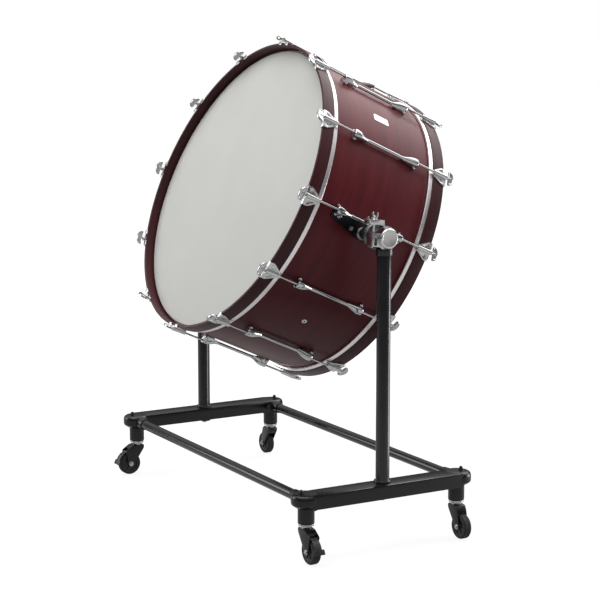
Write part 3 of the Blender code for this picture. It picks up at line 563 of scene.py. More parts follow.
def hex_head(radius=0.006, height=0.004, washer=0.008):
    """A hexagon head on its washer, standing on z = 0."""
    corners = []
    for degrees in range(0, 360, 60):
        a = math.radians(degrees)
        corners.append((radius * math.cos(a), radius * math.sin(a), 0.001))
    head = extruded("nut", corners, (0, 0, height), 0.0004)
    disc = rod("washer", washer, -0.0006, 0.0012, SMALL, 0.0003)
    dome = spun("tip", [
        (0, height), (radius * 0.5, height), (radius * 0.4, height + 0.0025), (0, height + 0.003),
    ], SMALL, 0.0004)
    return gathered("bolt", [head, disc, dome])


# ---- drum ----


def make_shell():
    """The shell with its bearing edges, its vent and a plain plate."""
    inner, crest = SHELL_RADIUS - SHELL_WALL, SHELL_RADIUS - BEARING_BEVEL
    profile = mirrored([
        (inner, -HALF_DEPTH), (crest, -HALF_DEPTH), (SHELL_RADIUS, -HALF_DEPTH + BEARING_BEVEL),
    ])
    vent_place = round_drum(math.radians(VENT_DEG)) @ turn(90, "Y")
    hole = moved(rod("hole", 0.0059, 0.43, 0.48, SMALL, 0), vent_place)
    shell = cut("shell", axial(spun("shell", profile, FINE, 0.0012)), [hole])
    piece("drum_shell", shell, SHELL_WOOD, "drum", DRUM, ["shell"])
    seat = SHELL_RADIUS + ON_SHELL
    vent = spun("vent", [
        (0.00275, inner), (0.0055, inner), (0.0055, seat), (0.0085, seat),
        (0.0080, seat + 0.0016), (0.00275, seat + 0.0016),
    ], MEDIUM, 0.0005)
    piece("vent_grommet", vent, CHROME, "drum", DRUM @ vent_place, ["vent"])
    make_plate()


def make_plate():
    """The bare metal plate bent to the shell at the upper right."""
    width, height, thick, middle = 0.055, 0.026, 0.0009, 0.002
    outline = filleted([
        (-width / 2, -height / 2), (width / 2, -height / 2), (width / 2, height / 2),
        (-width / 2, height / 2),
    ], 0.006, 5)
    bm = bmesh.new()
    low = []
    high = []
    for along, across in outline:
        angle = across / SHELL_RADIUS
        for ring, radius in ((low, SHELL_RADIUS - ON_SHELL), (high, SHELL_RADIUS + thick)):
            spot = (radius * math.cos(angle), middle + along, radius * math.sin(angle))
            ring.append(bm.verts.new(spot))
    bm.faces.new(low)
    bm.faces.new(list(reversed(high)))
    for i in range(len(low)):
        j = (i + 1) % len(low)
        bm.faces.new((low[i], low[j], high[j], high[i]))
    eased(bm, 0.0003, 60)
    place = DRUM @ round_drum(math.radians(PLATE_DEG))
    piece("shell_plate", finished(bm, "plate"), RING_METAL, "drum", place)
    pin = moved(screw_head(0.0022, 0.0012), turn(90, "Y"))
    for side, name in ((-1, "front"), (1, "rear")):
        at = place @ shift(SHELL_RADIUS + thick, middle + side * (width / 2 - 0.004), 0)
        piece(f"shell_plate_pin_{name}", pin, CHROME, "drum", at)


def make_heads():
    """Each film with its collar, lapped on a bright metal flesh hoop."""
    crest = SHELL_RADIUS - BEARING_BEVEL
    under, over = HALF_DEPTH + SEAT_GAP, HALF_DEPTH + 0.0013
    skirt_in, skirt, hem = SHELL_RADIUS + 0.0006, SHELL_RADIUS + 0.0022, FLESH_FRONT - 0.003
    profile = [
        (0, over), (crest - 0.004, over), (crest + 0.001, over - 0.0006),
        (crest + 0.0045, over - 0.004), (skirt, HALF_DEPTH - 0.008), (skirt, hem), (skirt_in, hem),
        (skirt_in, HALF_DEPTH - BEARING_BEVEL + 0.0002), (crest, under), (0, under),
    ]
    head = axial(spun("film", profile, FINE, 0))
    low = FLESH_FRONT - FLESH_WIDTH
    ring = axial(spun("ring", [
        (SHELL_RADIUS + 0.0007, low), (FLESH_RADIUS - 0.0005, low), (FLESH_RADIUS, low + 0.002),
        (FLESH_RADIUS, FLESH_FRONT - 0.001), (FLESH_RADIUS - 0.0006, FLESH_FRONT),
        (SHELL_RADIUS + 0.0022, FLESH_FRONT),
    ], FINE, 0.0012))
    for name, face in FACES:
        piece(f"{name}_film", head, FILM, "drum", DRUM @ face, [f"{name}_head"])
        piece(f"{name}_flesh_hoop", ring, RING_METAL, "drum", DRUM @ face, [f"{name}_head"])


def claw_mesh():
    """A claw hook at 3 o'clock: a webbed plate, two hooks over the hoop's edge, a rod boss."""
    root, top = HOOP_RADIUS - 0.0012, CLAW_TOP
    half, tail = 0.0288, 0.0085
    front, back, shoulder = CLAW_FRONT - 0.0004, CLAW_BACK, HOOP_FRONT - 0.013
    corners = [
        (-front, half), (-shoulder, half), (-back - 0.001, tail), (-back - 0.001, -tail),
        (-shoulder, -half), (-front, -half),
    ]
    outline = [(root, y, z) for y, z in filleted_flat(corners, 0.0065)]
    plate = extruded("claw", outline, (top - root, 0, 0))
    windows = []
    for side in (-1, 1):
        hole = [
            (-shoulder - 0.004, side * 0.0105), (-shoulder - 0.004, side * 0.0225),
            (-shoulder + 0.004, side * 0.0215), (-back - 0.016, side * 0.0105),
        ]
        outline = [(root + 0.0014, y, z) for y, z in filleted_flat(hole, 0.003)]
        windows.append(extruded("window", outline, (0.02, 0, 0)))
    hooks = []
    for side in (-1, 1):
        inner, outer = sorted((side * (half - 0.0165), side * (half - 0.0006)))
        hook = [
            (top - 0.0003, HOOP_FRONT - 0.004), (top - 0.0003, front), (HOOP_INNER + 0.0006, front),
            (HOOP_INNER + 0.0006, HOOP_FRONT - 0.0004), (HOOP_RADIUS, HOOP_FRONT - 0.0004),
            (root, HOOP_FRONT - 0.004),
        ]
        outline = [(x, -y, inner) for x, y in filleted_flat(hook, 0.0016)]
        hooks.append(extruded("hook", outline, (0, 0, outer - inner)))
    boss = axial(spun("boss", [
        (0, back - 0.001), (0.0062, back - 0.001), (0.0070, front - 0.014), (0.0078, front - 0.001),
        (0.0078, front + 0.0003), (0, front + 0.0003),
    ], BOSS, 0.0008))
    boss = moved(boss, shift(ROD_CIRCLE, 0, 0))
    space = axial(rod("space", 0.0035, back - 0.02, front + 0.02, SMALL, 0))
    space = moved(space, shift(ROD_CIRCLE, 0, 0))
    base = cut("claw", plate, windows)
    return cut("claw", base, [space], hooks + [boss], 0.0005)


def filleted_flat(points, radius, steps=4):
    """Rounds every corner of a flat outline, also one on the axis."""
    lift = 10.0  # keeps every corner off the axis while it is rounded
    made = filleted([(x + lift, y) for x, y in points], radius, steps)
    return [(x - lift, y) for x, y in made]


def make_hoops():
    """The wooden hoops and their claws."""
    profile = [
        (HOOP_INNER, HOOP_BACK), (HOOP_RADIUS, HOOP_BACK), (HOOP_RADIUS, HOOP_FRONT),
        (HOOP_INNER, HOOP_FRONT),
    ]
    hoop = axial(spun("hoop", profile, FINE, 0.0022))
    claw = claw_mesh()
    for name, face in FACES:
        piece(f"{name}_wood_hoop", hoop, SHADED_HOOP_WOOD, "drum", DRUM @ face, [f"{name}_hoop"])
        for index in range(LUGS):
            at = DRUM @ face @ round_drum(face_angle(index, name))
            hour = hour_of(index)
            piece(f"{name}_claw_{hour:02d}", claw, DULL_CHROME, "drum", at, [f"{name}_hoop"])


def face_angle(index, name):
    """Where a claw made at 3 o'clock is turned to, before the rear side's half turn."""
    angle = lug_angle(index)
    return math.pi - angle if name == "resonant" else angle


def lug_ring(along, half_width, low, high, sharp):
    """One ring of a lug: flat under, domed on top."""
    count = 14
    ring = []
    for k in range(count + 1):
        a = math.pi * k / count
        side = -half_width * math.copysign(abs(math.cos(a)) ** sharp, math.cos(a))
        ring.append((low + (high - low) * math.sin(a) ** sharp, -along, side))
    return ring


def lug_meshes():
    """The two cast ends and the tube between them."""
    foot, crown = SHELL_RADIUS + ON_SHELL, ROD_CIRCLE + 0.0075
    tube, radius = ROD_CIRCLE - 0.009, 0.0050
    throat = LUG_END - 0.0535
    ear_at, ear_thick = LUG_END - 0.0068, 0.0088
    stations = [
        (throat - 0.001, 0.0056, tube - 0.0056, tube + 0.0056, 0.9),
        (throat + 0.006, 0.0066, tube - 0.0064, tube + 0.0070, 0.85),
        (throat + 0.013, 0.0082, foot + 0.004, tube + 0.0095, 0.75),
        (throat + 0.020, 0.0098, foot, crown - 0.0042, 0.62),
        (throat + 0.030, 0.0114, foot, crown - 0.0012, 0.55),
        (throat + 0.040, 0.0126, foot, crown, 0.52),
        (LUG_END - 0.005, 0.0130, foot, crown, 0.52),
        (LUG_END - 0.0012, 0.0122, foot, crown - 0.0006, 0.55),
        (LUG_END, 0.0108, foot + 0.0008, crown - 0.0020, 0.6),
    ]
    casting = lofted("casting", [lug_ring(*station) for station in stations])
    ear = []
    for degrees in range(0, 181, 15):
        a = math.radians(degrees)
        ear.append((0.0145 * math.cos(a) * 0.45, 0.0115 + 0.0065 * math.sin(a)))
    half = [(-0.0065, 0.004)] + [(-x, z) for x, z in ear] + [(0.0065, 0.004)]
    ears = []
    for side in (-1, 1):
        outline = [(foot, -ear_at + y, side * z) for y, z in half]
        ears.append(extruded("ear", outline, (ear_thick, 0, 0), 0.0012))
    space = axial(rod("space", 0.0034, LUG_END - 0.0144, LUG_END + 0.01, SMALL, 0))
    casting = cut("casting", casting, [moved(space, shift(ROD_CIRCLE, 0, 0))], ears, 0.0004)
    middle = axial(rod("tube", radius, -throat - 0.004, throat + 0.004, BOSS, 0))
    middle = moved(middle, shift(tube, 0, 0))
    head = screw_head(0.0036, 0.0022)
    screws = []
    for side in (-1, 1):
        at = shift(foot + ear_thick, -ear_at, side * 0.0128) @ turn(90, "Y")
        screws.append(moved(head.copy(), at))
    whole = gathered("lug_end", [casting] + screws)
    other = moved(whole.copy(), turn(180, "X"))
    return gathered("lug", [whole, other, middle])


def make_lugs():
    """The ring of lugs; those at 3 and 9 o'clock belong to the pivots."""
    lug = lug_meshes()
    for index in range(LUGS):
        hour = hour_of(index)
        node = {3: "pivot_lug_right", 9: "pivot_lug_left"}.get(hour, f"lug_{hour:02d}")
        at = DRUM @ round_drum(lug_angle(index))
        piece(f"tube_lug_{hour:02d}", lug, CHROME, "drum", at, [node])


def rod_meshes():
    """A tension rod with its washer, and its half-moon T handle."""
    seat = CLAW_FRONT + SEAT_GAP
    stem = seat + 0.003 + 0.0035
    height, width, thick = 0.018, 0.046, 0.008
    shaft = spun("shaft", [
        (0, LUG_END - 0.014), (0.003, LUG_END - 0.014), (0.003, seat), (0.0056, seat),
        (0.0060, seat + 0.0012), (0.0052, seat + 0.003), (0.0036, seat + 0.0036),
        (0.0036, stem + height / 3), (0, stem + height / 3),
    ], SMALL, 0.0003)
    half = width / 2
    moon = [
        (half * math.cos(a), height * max(math.sin(a), 0.0) ** 0.8)
        for a in (math.radians(8 + 164 * k / 24) for k in range(25))
    ]
    outline = filleted_flat([(half * 0.95, 0.0)] + moon + [(-half * 0.95, 0.0)], 0.0014, 2)
    middle = height * 0.45
    rings = []
    for depth, share in (
        (-0.34, 0.60), (-0.36, 0.74), (-0.5, 0.84), (-0.46, 0.93), (-0.25, 1.0),
        (0.25, 1.0), (0.46, 0.93), (0.5, 0.84), (0.36, 0.74), (0.34, 0.60),
    ):
        rings.append([
            (depth * thick, -(stem + middle + (rise - middle) * share), side * share)
            for side, rise in outline
        ])
    hub = moved(rod("hub", 0.0046, stem - 0.001, stem + height * 0.55, SMALL, 0.001), turn(90, "X"))
    return gathered("tension_rod", [axial(shaft), lofted("handle", rings), hub])


def make_rods():
    """The tension rods on both sides, their handles turned each its own way."""
    mesh = rod_meshes()
    for index in range(LUGS):
        hour = hour_of(index)
        place = DRUM @ round_drum(lug_angle(index)) @ shift(ROD_CIRCLE, 0, 0)
        handle = turn(HANDLE_TURNS_DEG[hour], "Y")
        for name, face in FACES:
            node = f"{name}_rod_{hour:02d}"
            piece(f"{node}_handle", mesh, CHROME, node, place @ face @ handle, [node])


def make_pivots():
    """On each side: the tapered bracket, the neck, the friction flange, the hub and its cap."""
    inner, outer = SHELL_RADIUS + ON_SHELL, SHELL_RADIUS + 0.0043
    levels = [
        (-0.0545, -0.0425, 0.0075), (-0.0550, -0.0431, 0.0080), (0.020, -0.0431, 0.0080),
        (0.122, -0.0165, 0.0080), (0.125, -0.0155, 0.0072),
    ]
    rings = []
    steps = 14
    for along, low, high in levels:
        heights = [low + (high - low) * i / steps for i in range(steps + 1)]
        ring = [(math.sqrt(outer**2 - z * z), -along, z) for z in heights]
        ring += [(math.sqrt(inner**2 - z * z), -along, z) for z in reversed(heights)]
        rings.append(ring)
    plate = lofted("bracket", rings)
    cap_in = POST_X + CLAMP_HALF + SEAT_GAP
    flange = cap_in - 0.0575 - 0.016
    axle = shift(0, -PIVOT_AHEAD, -PIVOT_DROP) @ turn(90, "Y")
    neck = moved(spun("neck", [
        (0, outer - 0.003), (0.0215, outer - 0.003), (0.0205, outer + 0.0030),
        (0.0160, outer + 0.0065), (0.0160, flange + 0.0005), (0, flange + 0.0005),
    ], MEDIUM, 0.0015), axle)
    disc = moved(spun("flange", [
        (0, flange), (0.0355, flange), (0.038, flange + 0.0025), (0.038, flange + 0.0062),
        (0.0366, flange + 0.0068), (0.0366, flange + 0.0092), (0.038, flange + 0.0098),
        (0.038, flange + 0.0140), (0.0362, flange + 0.016), (0, flange + 0.016),
    ], TURNED, 0.0006), axle)
    hub = moved(spun("hub", [
        (0, flange + 0.010), (0.0243, flange + 0.010), (0.0243, cap_in + 0.001),
        (0, cap_in + 0.001),
    ], TURNED), axle)
    cap = moved(spun("cap", [
        (0, cap_in), (0.0288, cap_in), (0.0295, cap_in + 0.0012), (0.0295, cap_in + 0.0095),
        (0.0262, cap_in + 0.0130), (0.0245, cap_in + 0.0135), (0.0238, cap_in + 0.0128),
        (0, cap_in + 0.0126),
    ], TURNED, 0.0009), axle)
    bolt = hex_head(0.0055, 0.0035, 0.0075)
    seats = []
    for along, height in ((0.098, -0.006), (0.046, -0.024), (-0.044, -0.034), (-0.044, -0.004)):
        angle = math.asin(height / outer)
        spot = shift(math.cos(angle) * outer, -along, height)
        seats.append(spot @ round_drum(angle) @ turn(90, "Y"))
    bolts = gathered("bolts", [moved(bolt.copy(), seat) for seat in seats])
    parts = (
        ("plate", plate, BLACK_PAINT), ("neck", neck, DARK_STEEL), ("flange", disc, DARK_STEEL),
        ("hub", hub, CHROME), ("cap", cap, DULL_CHROME), ("bolts", bolts, CHROME),
    )
    mirror = Matrix.Scale(-1, 4, (1, 0, 0))
    for side, node in (("right", "pivot_lug_right"), ("left", "pivot_lug_left")):
        for name, mesh, finish in parts:
            own = mesh if side == "right" else moved(mesh.copy(), mirror)
            piece(f"pivot_{name}_{side}", own, finish, "drum", DRUM, [node])


# ---- stand ----


def arc(radius, start, stop, steps):
    """Points along an arc about the origin."""
    return [
        (radius * math.cos(start + (stop - start) * i / steps),
         radius * math.sin(start + (stop - start) * i / steps))
        for i in range(steps + 1)
    ]


def clamp_mesh():
    """The split clamp round the hub, with the bar that the wing screw pulls down."""
    inner, outer = 0.0247, 0.0345
    top, bottom = math.radians(115), math.radians(155)
    ear_meets = 2 * math.pi - math.acos(-0.0250 / outer)
    crown = math.acos(-0.0055 / outer)
    outline = [(-0.0480, 0.013), (-0.0480, -0.026), (-0.0250, -0.026)]
    outline += arc(outer, ear_meets, crown + 2 * math.pi, 40)
    outline += [
        (-0.0088, 0.0375), (-0.0110, 0.0505), (-0.0620, 0.0505), (-0.0620, 0.0375),
        (-0.0250, 0.0375),
    ]
    lip_turn = 0.1
    outline += arc(outer, top - lip_turn, top, 1)
    outline += arc(inner, top, bottom - 2 * math.pi, 60)
    outline += [(-0.0254, 0.013)]
    face = [(-CLAMP_HALF, y, z) for y, z in outline]
    clamp = extruded("clamp", face, (2 * CLAMP_HALF, 0, 0), 0.0011)
    hole = moved(rod("hole", 0.0048, -0.06, 0.06, SMALL, 0), shift(0, -WING_AXIS, 0))
    notch = block("notch", (-0.02, -0.0335, -0.0225), (0.02, -0.0425, 0.0005), 0.002)
    waist = [
        block("waist", (x * 0.0105, -0.030, 0.030), (x * 0.0300, 0.02, 0.0520), 0.003)
        for x in (-1, 1)
    ]
    return cut("clamp", clamp, [hole, notch] + waist)


def make_posts():
    """The posts with their collars, the sockets under the clamps, and the clamps' studs."""
    base = RAIL_TOP + SEAT_GAP
    top = PIVOT.z - CLAMP_FOOT - 0.0015
    post = spun("post", [
        (0.0180, base), (0.0255, base), (0.0255, base + 0.006), (0.0205, base + 0.0066),
        (0.0205, top - 0.018), (0.0180, top - 0.018),
    ], 64, 0.0007)
    socket = spun("socket", [
        (0, top - 0.020), (0.0232, top - 0.020), (0.0245, top - 0.0175), (0.0245, top - 0.001),
        (0.0238, top), (0, top),
    ], 64, 0.0008)
    clamp = clamp_mesh()
    tip = hex_head(0.0062, 0.0045, 0.0085)
    for side, name in SIDES:
        at = shift(side * POST_X, PIVOT.y, 0)
        head = shift(side * POST_X, PIVOT.y, PIVOT.z) @ Matrix.Rotation(-CLAMP_LEAN, 4, "X")
        piece(f"post_tube_{name}", post, LIT_POST_PAINT, "stand", at, [f"post_{name}"])
        piece(f"post_socket_{name}", socket, LIT_POST_PAINT, "stand", at, [f"post_{name}"])
        piece(f"clamp_{name}", clamp, DULL_CHROME, "stand", head, [f"post_{name}"])
        for x in (-0.0105, 0.0105):
            pin = head @ shift(x, -0.0530, 0.0504)
            piece(f"clamp_stud_{name}_{'a' if x < 0 else 'b'}", tip, CHROME, "stand", pin)


def make_wing_screws():
    """The wing screws, each on its own leaning axis."""
    seat = WING_SEAT
    stud = spun("stud", [
        (0, -0.030), (0.0034, -0.030), (0.0040, -0.0288), (0.0040, seat), (0.0094, seat),
        (0.0094, seat + 0.0016), (0.0078, seat + 0.002), (0.0058, seat + 0.010),
        (0.0045, seat + 0.011), (0, seat + 0.011),
    ], BOSS, 0.0006)
    half, rise = 0.016, 0.021
    outline = filleted_flat([
        (0.05 * half, seat + 0.0025), (0.62 * half, seat + 0.16 * rise),
        (0.98 * half, seat + 0.62 * rise), (half, seat + 0.97 * rise), (0.60 * half, seat + rise),
        (0.34 * half, seat + 0.46 * rise), (0, seat + 0.42 * rise),
    ], 0.0035, 4)
    wings = []
    for side in (1, -1):
        wings.append(extruded(
            "wing", [(side * x, -0.0019, z) for x, z in outline], (0, 0.0038, 0), 0.0011
        ))
    mesh = gathered("wing_screw", [stud] + wings)
    lean = Matrix.Rotation(-CLAMP_LEAN, 4, "X") @ shift(0, -WING_AXIS, 0)
    for side, name in SIDES:
        node = f"wing_screw_{name}"
        at = shift(side * POST_X, PIVOT.y, PIVOT.z) @ lean
        piece(f"{node}_wings", mesh, CHROME, node, at, [node])


def make_rails():
    """The side rails with their knuckles, legs, sockets and bolts, and the cross bars."""
    inside, outside = RAIL_SHIFT - RAIL_HALF, RAIL_SHIFT + RAIL_HALF
    beam = block("beam", (inside, -LEG_Y, RAIL_LOW), (outside, LEG_Y, RAIL_TOP), 0.0035)
    parts = []
    bolt = spun("bolt", [
        (0, BAR_Z), (0.0060, BAR_Z), (0.0060, RAIL_TOP + 0.0068), (0.0044, RAIL_TOP + 0.0110),
        (0.0024, RAIL_TOP + 0.0124), (0, RAIL_TOP + 0.0125),
    ], SMALL, 0.0008)
    pad = rod("pad", 0.0088, RAIL_TOP - 0.002, RAIL_TOP + 0.0018, BOSS, 0.0005)
    boss = rod("boss", 0.019, RAIL_LOW - 0.006, RAIL_LOW + 0.004, MEDIUM, 0.0015)
    for end in (-1, 1):
        knuckle = spun("knuckle", [
            (0, RAIL_LOW - 0.0003), (0.0245, RAIL_LOW - 0.0003), (0.0405, RAIL_LOW + 0.0105),
            (0.0425, RAIL_LOW + 0.0150), (0.0425, RAIL_TOP - 0.0120), (0.0400, RAIL_TOP - 0.0040),
            (0.0340, RAIL_TOP + 0.0003), (0, RAIL_TOP + 0.0003),
        ], TURNED, 0.003)
        parts.append(moved(knuckle, shift(0, end * (LEG_Y + 0.002), 0)))
        leg = spun("leg", [
            (0.0205, LEG_LOW), (0.0240, LEG_LOW), (0.0245, LEG_LOW + 0.0008),
            (0.0245, RAIL_LOW + 0.010), (0.0205, RAIL_LOW + 0.010),
        ], MEDIUM, 0.0008)
        parts.append(moved(leg, shift(0, end * LEG_Y, 0)))
        socket = spun("socket", [
            (0.0158, -SOCKET_REACH), (0.0172, -SOCKET_REACH), (0.0180, -0.0685), (0.0199, -0.0365),
            (0.0158, -0.0365),
        ], MEDIUM, 0.0006)
        inward = shift(0, end * LEG_Y, BAR_Z) @ turn(90, "Y")
        parts.append(moved(socket, inward))
        web = [
            (-0.0150, end * (LEG_Y - back), RAIL_LOW + rise)
            for back, rise in ((0.012, 0.004), (0.012, -0.0098), (0.0250, -0.0098), (0.0500, 0.004))
        ]
        parts.append(extruded("web", web, (0.030, 0, 0), 0.0012))
    rail = gathered("rail", [beam, boss] + parts)
    bolts = gathered("bolts", [
        moved(mesh.copy(), shift(0, end * (LEG_Y + 0.016), 0))
        for mesh in (bolt, pad) for end in (-1, 1)
    ])
    foot = hex_head(0.0070, 0.0045, 0.0110)
    for side, name, half_turn in ((1, "right", Matrix.Identity(4)), (-1, "left", ABOUT_FACE)):
        at = shift(side * POST_X, BASE_Y, 0) @ half_turn
        piece(f"rail_{name}", rail, BLACK_PAINT, "stand", at, [f"side_rail_{name}"])
        piece(f"rail_bolts_{name}", bolts, TOP_PAINT, "stand", at, [f"side_rail_{name}"])
        under = shift(side * POST_X, PIVOT.y, RAIL_LOW - 0.006) @ turn(180, "X")
        piece(f"post_bolt_{name}", foot, CHROME, "stand", under)
    in_socket = 0.020
    reach = POST_X - SOCKET_REACH + in_socket
    bar = spun("bar", mirrored([(0.0134, -reach), (0.0154, -reach)]), MEDIUM)
    bar = moved(bar, turn(90, "Y"))
    for name, side in (("front", -1), ("rear", 1)):
        at = shift(0, BASE_Y + side * LEG_Y, BAR_Z)
        piece(f"{name}_bar", bar, BAR_PAINT, "stand", at, [f"{name}_cross_bar"])


# ---- casters ----


def pedal_pin():
    """Where a pedal is hinged in its fork's side view."""
    reach = WHEEL_RADIUS + 0.005
    angle = math.radians(72)
    return CASTER_TRAIL + reach * math.cos(angle), WHEEL_RADIUS + reach * math.sin(angle)


def fork_meshes(braked):
    """The pressed fork, its swivel head with a ball race, and the axle with its nuts."""
    top, bridge = 0.1010, 0.012
    outer, inner = 0.017, 0.014
    side = [(-0.019, top), (0.0216, top)]
    pin_x, pin_z = pedal_pin()
    if braked:
        side += [
            (pin_x + 0.004, pin_z + 0.006), (pin_x + 0.006, pin_z), (pin_x + 0.003, pin_z - 0.006),
        ]
    else:
        side += [(0.030, top - bridge)]
    side += [
        (CASTER_TRAIL + 0.0105, WHEEL_RADIUS + 0.003),
        (CASTER_TRAIL + 0.0042, WHEEL_RADIUS - 0.0105),
        (CASTER_TRAIL - 0.0063, WHEEL_RADIUS - 0.0105), (-0.019, top - bridge),
    ]
    outline = filleted_flat(side, 0.006, 4)
    body = extruded("fork", [(x, -outer, z) for x, z in outline], (0, 2 * outer, 0), 0.0016)
    cuts = [block("space", (-0.05, -inner, 0), (0.09, inner, 0.078))]
    if braked:
        cuts.append(block("space", (pin_x - 0.007, -inner, 0.04), (0.09, inner, 0.2)))
    cheeks = cut("fork", body, cuts)
    head = spun("swivel", [
        (0, LEG_LOW - SEAT_GAP), (0.0205, LEG_LOW - SEAT_GAP), (0.0230, LEG_LOW - 0.0022),
        (0.0230, LEG_LOW - 0.0048), (0.0216, LEG_LOW - 0.0056), (0.0216, LEG_LOW - 0.0068),
        (0.0222, LEG_LOW - 0.0076), (0.0214, LEG_LOW - 0.0100), (0.0160, LEG_LOW - 0.0118),
        (0.0160, 0.096), (0, 0.096),
    ], MEDIUM, 0.0006)
    proud = 0.0002
    axle = moved(rod("axle", 0.005, -outer - proud, outer + proud, SMALL), turn(90, "X"))
    nut = hex_head(0.0058, 0.0038, 0.0080)
    ends = [moved(nut.copy(), shift(0, s * outer, 0) @ turn(-90 * s, "X")) for s in (-1, 1)]
    spindle = moved(gathered("spindle", [axle] + ends), shift(CASTER_TRAIL, 0, WHEEL_RADIUS))
    return cheeks, head, spindle


def wheel_meshes():
    """A moulded hub in a rubber tread."""
    half, edge = 0.0125, WHEEL_RADIUS
    tread = spun("tread", mirrored([
        (0.0262, -half + 0.0012), (0.0290, -half), (edge - 0.0035, -half),
        (edge - 0.0006, -half + 0.0030), (edge, -half + 0.0050), (edge, -0.0016),
        (edge - 0.0008, -0.0010),
    ]), TURNED, 0.0006)
    hub = spun("hub", mirrored([
        (0.0054, -half + 0.0010), (0.0095, -half + 0.0010), (0.0105, -half + 0.0040),
        (0.0215, -half + 0.0044), (0.0240, -half + 0.0008), (0.0266, -half + 0.0008),
    ]), TURNED, 0.0005)
    ribs = []
    high = half - 0.0018
    for k in range(6):
        rib = block("rib", (0.0085, -0.0009, -high), (0.0235, 0.0009, high), 0.0003)
        ribs.append(moved(rib, turn(60 * k, "Z")))
    upright = turn(90, "X")
    return moved(tread, upright), moved(gathered("hub", [hub] + ribs), upright)


def pedal_mesh():
    """The brake pedal, its origin on its hinge."""
    start, stop, steps = 72, 20, 14
    thick, clear = 0.004, 0.003

    def at(angle, over):
        reach = WHEEL_RADIUS + over
        a = math.radians(angle)
        return Vector((CASTER_TRAIL + reach * math.cos(a), WHEEL_RADIUS + reach * math.sin(a)))

    angles = [start + (stop - start) * k / steps for k in range(steps + 1)]
    under = [at(a, clear) for a in angles]
    over = [at(a, clear + thick) for a in angles]
    flare = Vector((math.cos(math.radians(-62)), math.sin(math.radians(-62)))) * 0.016
    under.append(under[-1] + flare)
    over.append(over[-1] + flare)
    outline = under + over[::-1]
    arch = extruded("pedal", [(p.x, -0.011, p.y) for p in outline], (0, 0.022, 0), 0.0009)
    lip = under[-2:] + over[-2:][::-1]
    foot = extruded("foot", [(p.x, -0.019, p.y) for p in lip], (0, 0.038, 0), 0.0014)
    grips = []
    for k in range(5):
        spot = over[-2].lerp(over[-1], 0.18 + 0.16 * k)
        grip = block("grip", (-0.0004, -0.016, -0.0007), (0.0007, 0.016, 0.0007), 0.0002)
        grips.append(moved(grip, shift(spot.x, 0, spot.y) @ turn(-28, "Y")))
    pin_x, pin_z = pedal_pin()
    hinge = shift(pin_x, 0, pin_z) @ turn(90, "X")
    barrel = moved(rod("barrel", 0.0035, -0.0137, 0.0137, SMALL), hinge)
    whole = gathered("pedal", [arch, foot, barrel] + grips)
    return moved(whole, shift(-pin_x, 0, -pin_z))


def make_casters():
    """The four casters, each at its own heading, with pedals on the front two."""
    forks = {braked: fork_meshes(braked) for braked in (True, False)}
    tread, hub = wheel_meshes()
    pedal = pedal_mesh()
    pin_x, pin_z = pedal_pin()
    for name, (side_x, side_y, heading, braked) in CASTERS.items():
        swivel = shift(side_x * POST_X, BASE_Y + side_y * LEG_Y, 0) @ turn(heading, "Z")
        cheeks, head, spindle = forks[braked]
        node = f"caster_fork_{name}"
        for part, mesh, finish in (
            ("cheeks", cheeks, BLACK_PAINT), ("head", head, CHROME), ("axle", spindle, CHROME),
        ):
            piece(f"fork_{part}_{name}", mesh, finish, node, swivel, [node])
        node = f"caster_wheel_{name}"
        at = swivel @ shift(CASTER_TRAIL, 0, WHEEL_RADIUS)
        piece(f"wheel_tread_{name}", tread, TREAD, node, at, [node])
        piece(f"wheel_hub_{name}", hub, MOULDED, node, at, [node])
        if braked:
            node = f"brake_pedal_{name}"
            piece(f"pedal_{name}", pedal, MOULDED, node, swivel @ shift(pin_x, 0, pin_z), [node])


# ---- studio ----


def lamp(name, place, target, size, power):
    """A soft light of width and height, aimed at a point."""
    light = bpy.data.lights.new(name, "AREA")
    light.shape = "RECTANGLE"
    light.size, light.size_y = size
    light.energy = power
    made = placed(name, light)
    made.location = place
    made.rotation_euler = (Vector(target) - Vector(place)).to_track_quat("-Z", "Y").to_euler()
    made.visible_camera = False


def make_world():
    """White to the camera; to the object a soft sky, bright above and dim below."""
    world = bpy.data.worlds.new("studio")
    world.use_nodes = True
    bpy.context.scene.world = world
    tree = world.node_tree
    tree.nodes.clear()
    add = tree.nodes.new
    out, mix = add("ShaderNodeOutputWorld"), add("ShaderNodeMixShader")
    white, soft = add("ShaderNodeBackground"), add("ShaderNodeBackground")
    fill(white, Color=(1, 1, 1, 1), Strength=1.0)
    place, split = add("ShaderNodeTexCoord"), add("ShaderNodeSeparateXYZ")
    ramp = add("ShaderNodeValToRGB")
    span = add("ShaderNodeMapRange")
    fill(span, From_Min=-1)
    marks = ramp.color_ramp.elements
    marks[0].position, marks[0].color = 0.44, (0.02, 0.02, 0.022, 1)
    marks[1].position, marks[1].color = 0.95, (0.85, 0.85, 0.86, 1)
    marks.new(0.60).color = (0.08, 0.08, 0.083, 1)
    link = tree.links.new
    link(place.outputs["Generated"], split.inputs["Vector"])
    link(split.outputs["Z"], span.inputs["Value"])
    link(span.outputs["Result"], ramp.inputs["Fac"])
    link(ramp.outputs["Color"], soft.inputs["Color"])
    rays = add("ShaderNodeLightPath")
    link(rays.outputs["Is Camera Ray"], mix.inputs["Fac"])
    gain = add("ShaderNodeMapRange")
    fill(gain, To_Min=1.0, To_Max=SKY_IN_METAL)
    link(rays.outputs["Is Glossy Ray"], gain.inputs["Value"])
    link(gain.outputs["Result"], soft.inputs["Strength"])
    link(soft.outputs["Background"], mix.inputs[1])
    link(white.outputs["Background"], mix.inputs[2])
    link(mix.outputs["Shader"], out.inputs["Surface"])


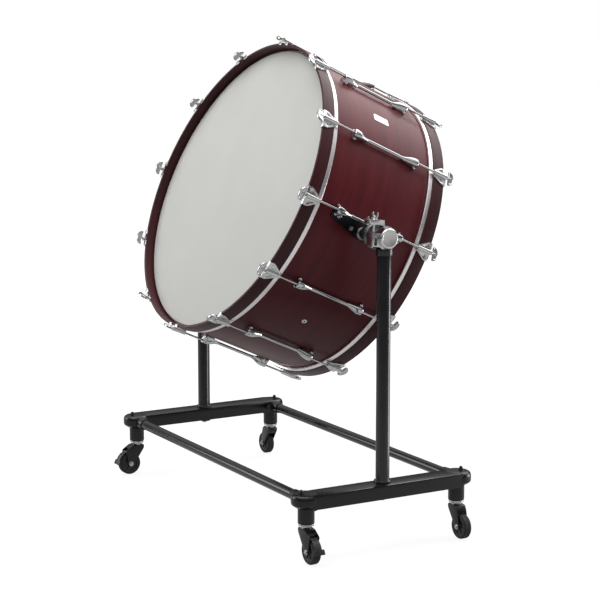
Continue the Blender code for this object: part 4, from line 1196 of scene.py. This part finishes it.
def make_floor():
    """A plain pale floor that reads white but keeps the object's shadow."""
    bm = bmesh.new()
    bmesh.ops.create_circle(bm, cap_ends=True, radius=FLOOR_RADIUS, segments=96)
    mesh = finished(bm, "floor")
    n = Nodes("pale_floor")
    n.feed(n.mix(n.noise(2.5), (0.13, 0.13, 0.13), (0.14, 0.14, 0.14)), "Base Color")
    n.set(Roughness=0.9, Specular_IOR_Level=0.0)
    glow, both = n.add("ShaderNodeEmission"), n.add("ShaderNodeAddShader")
    rays = n.add("ShaderNodeLightPath")
    reach = n.add("ShaderNodeVectorMath", operation="LENGTH")
    n.join(n.place, reach.inputs[0])
    below, around, near, far = 0.89, 1.0, 1.2, 4.5
    n.join(n.spread(reach.outputs["Value"], below, around, near, far), glow.inputs["Color"])
    seen = n.add("ShaderNodeMath", operation="MAXIMUM")
    n.join(rays.outputs["Is Camera Ray"], seen.inputs[0])
    n.join(n.spread(rays.outputs["Is Glossy Ray"], 0.0, FLOOR_IN_METAL), seen.inputs[1])
    n.join(seen.outputs["Value"], glow.inputs["Strength"])
    n.join(n.shader.outputs["BSDF"], both.inputs[0])
    n.join(glow.outputs["Emission"], both.inputs[1])
    n.join(both.outputs["Shader"], n.tree.nodes["Material Output"].inputs["Surface"])
    mesh.materials.append(n.material)
    floor = placed("floor", mesh)
    floor.location.z = FLOOR_Z


def make_camera():
    """The camera, at the photograph's angle."""
    data = bpy.data.cameras.new("camera")
    data.sensor_width = SENSOR_MM
    data.lens = CAMERA_LENS_MM
    camera = placed("camera", data)
    camera.location = CAMERA_PLACE
    camera.rotation_mode = "QUATERNION"
    camera.rotation_quaternion = Vector(CAMERA_AIM).to_track_quat("-Z", "Y")
    bpy.context.scene.camera = camera


def make_lights():
    """Large soft lamps behind and above, a low strip for the stand, and a fill at the front."""
    lamp("back_overhead", (-1.2, 3.8, 4.7), (0, 0, 1.2), (6.0, 3.8), 190)
    lamp("back_strip", (1.3, 5.2, 1.5), (0.5, 0, 1.0), (1.8, 2.8), 24)
    lamp("low_strip", (1.10, 1.9, 0.32), (0.58, 0, 0.36), (0.8, 0.9), 15)
    lamp("front_left", (-4.2, -4.2, 2.2), (0, 0, 1.0), (3.4, 3.2), 122)
    lamp("overhead", (-0.3, -0.8, 4.8), (0, 0, 0.9), (4.6, 4.2), 145)


make_shell()
make_heads()
make_hoops()
make_lugs()
make_rods()
make_pivots()
make_posts()
make_wing_screws()
make_rails()
make_casters()
make_world()
make_floor()
make_camera()
make_lights()
bpy.context.scene.view_settings.view_transform = "Standard"
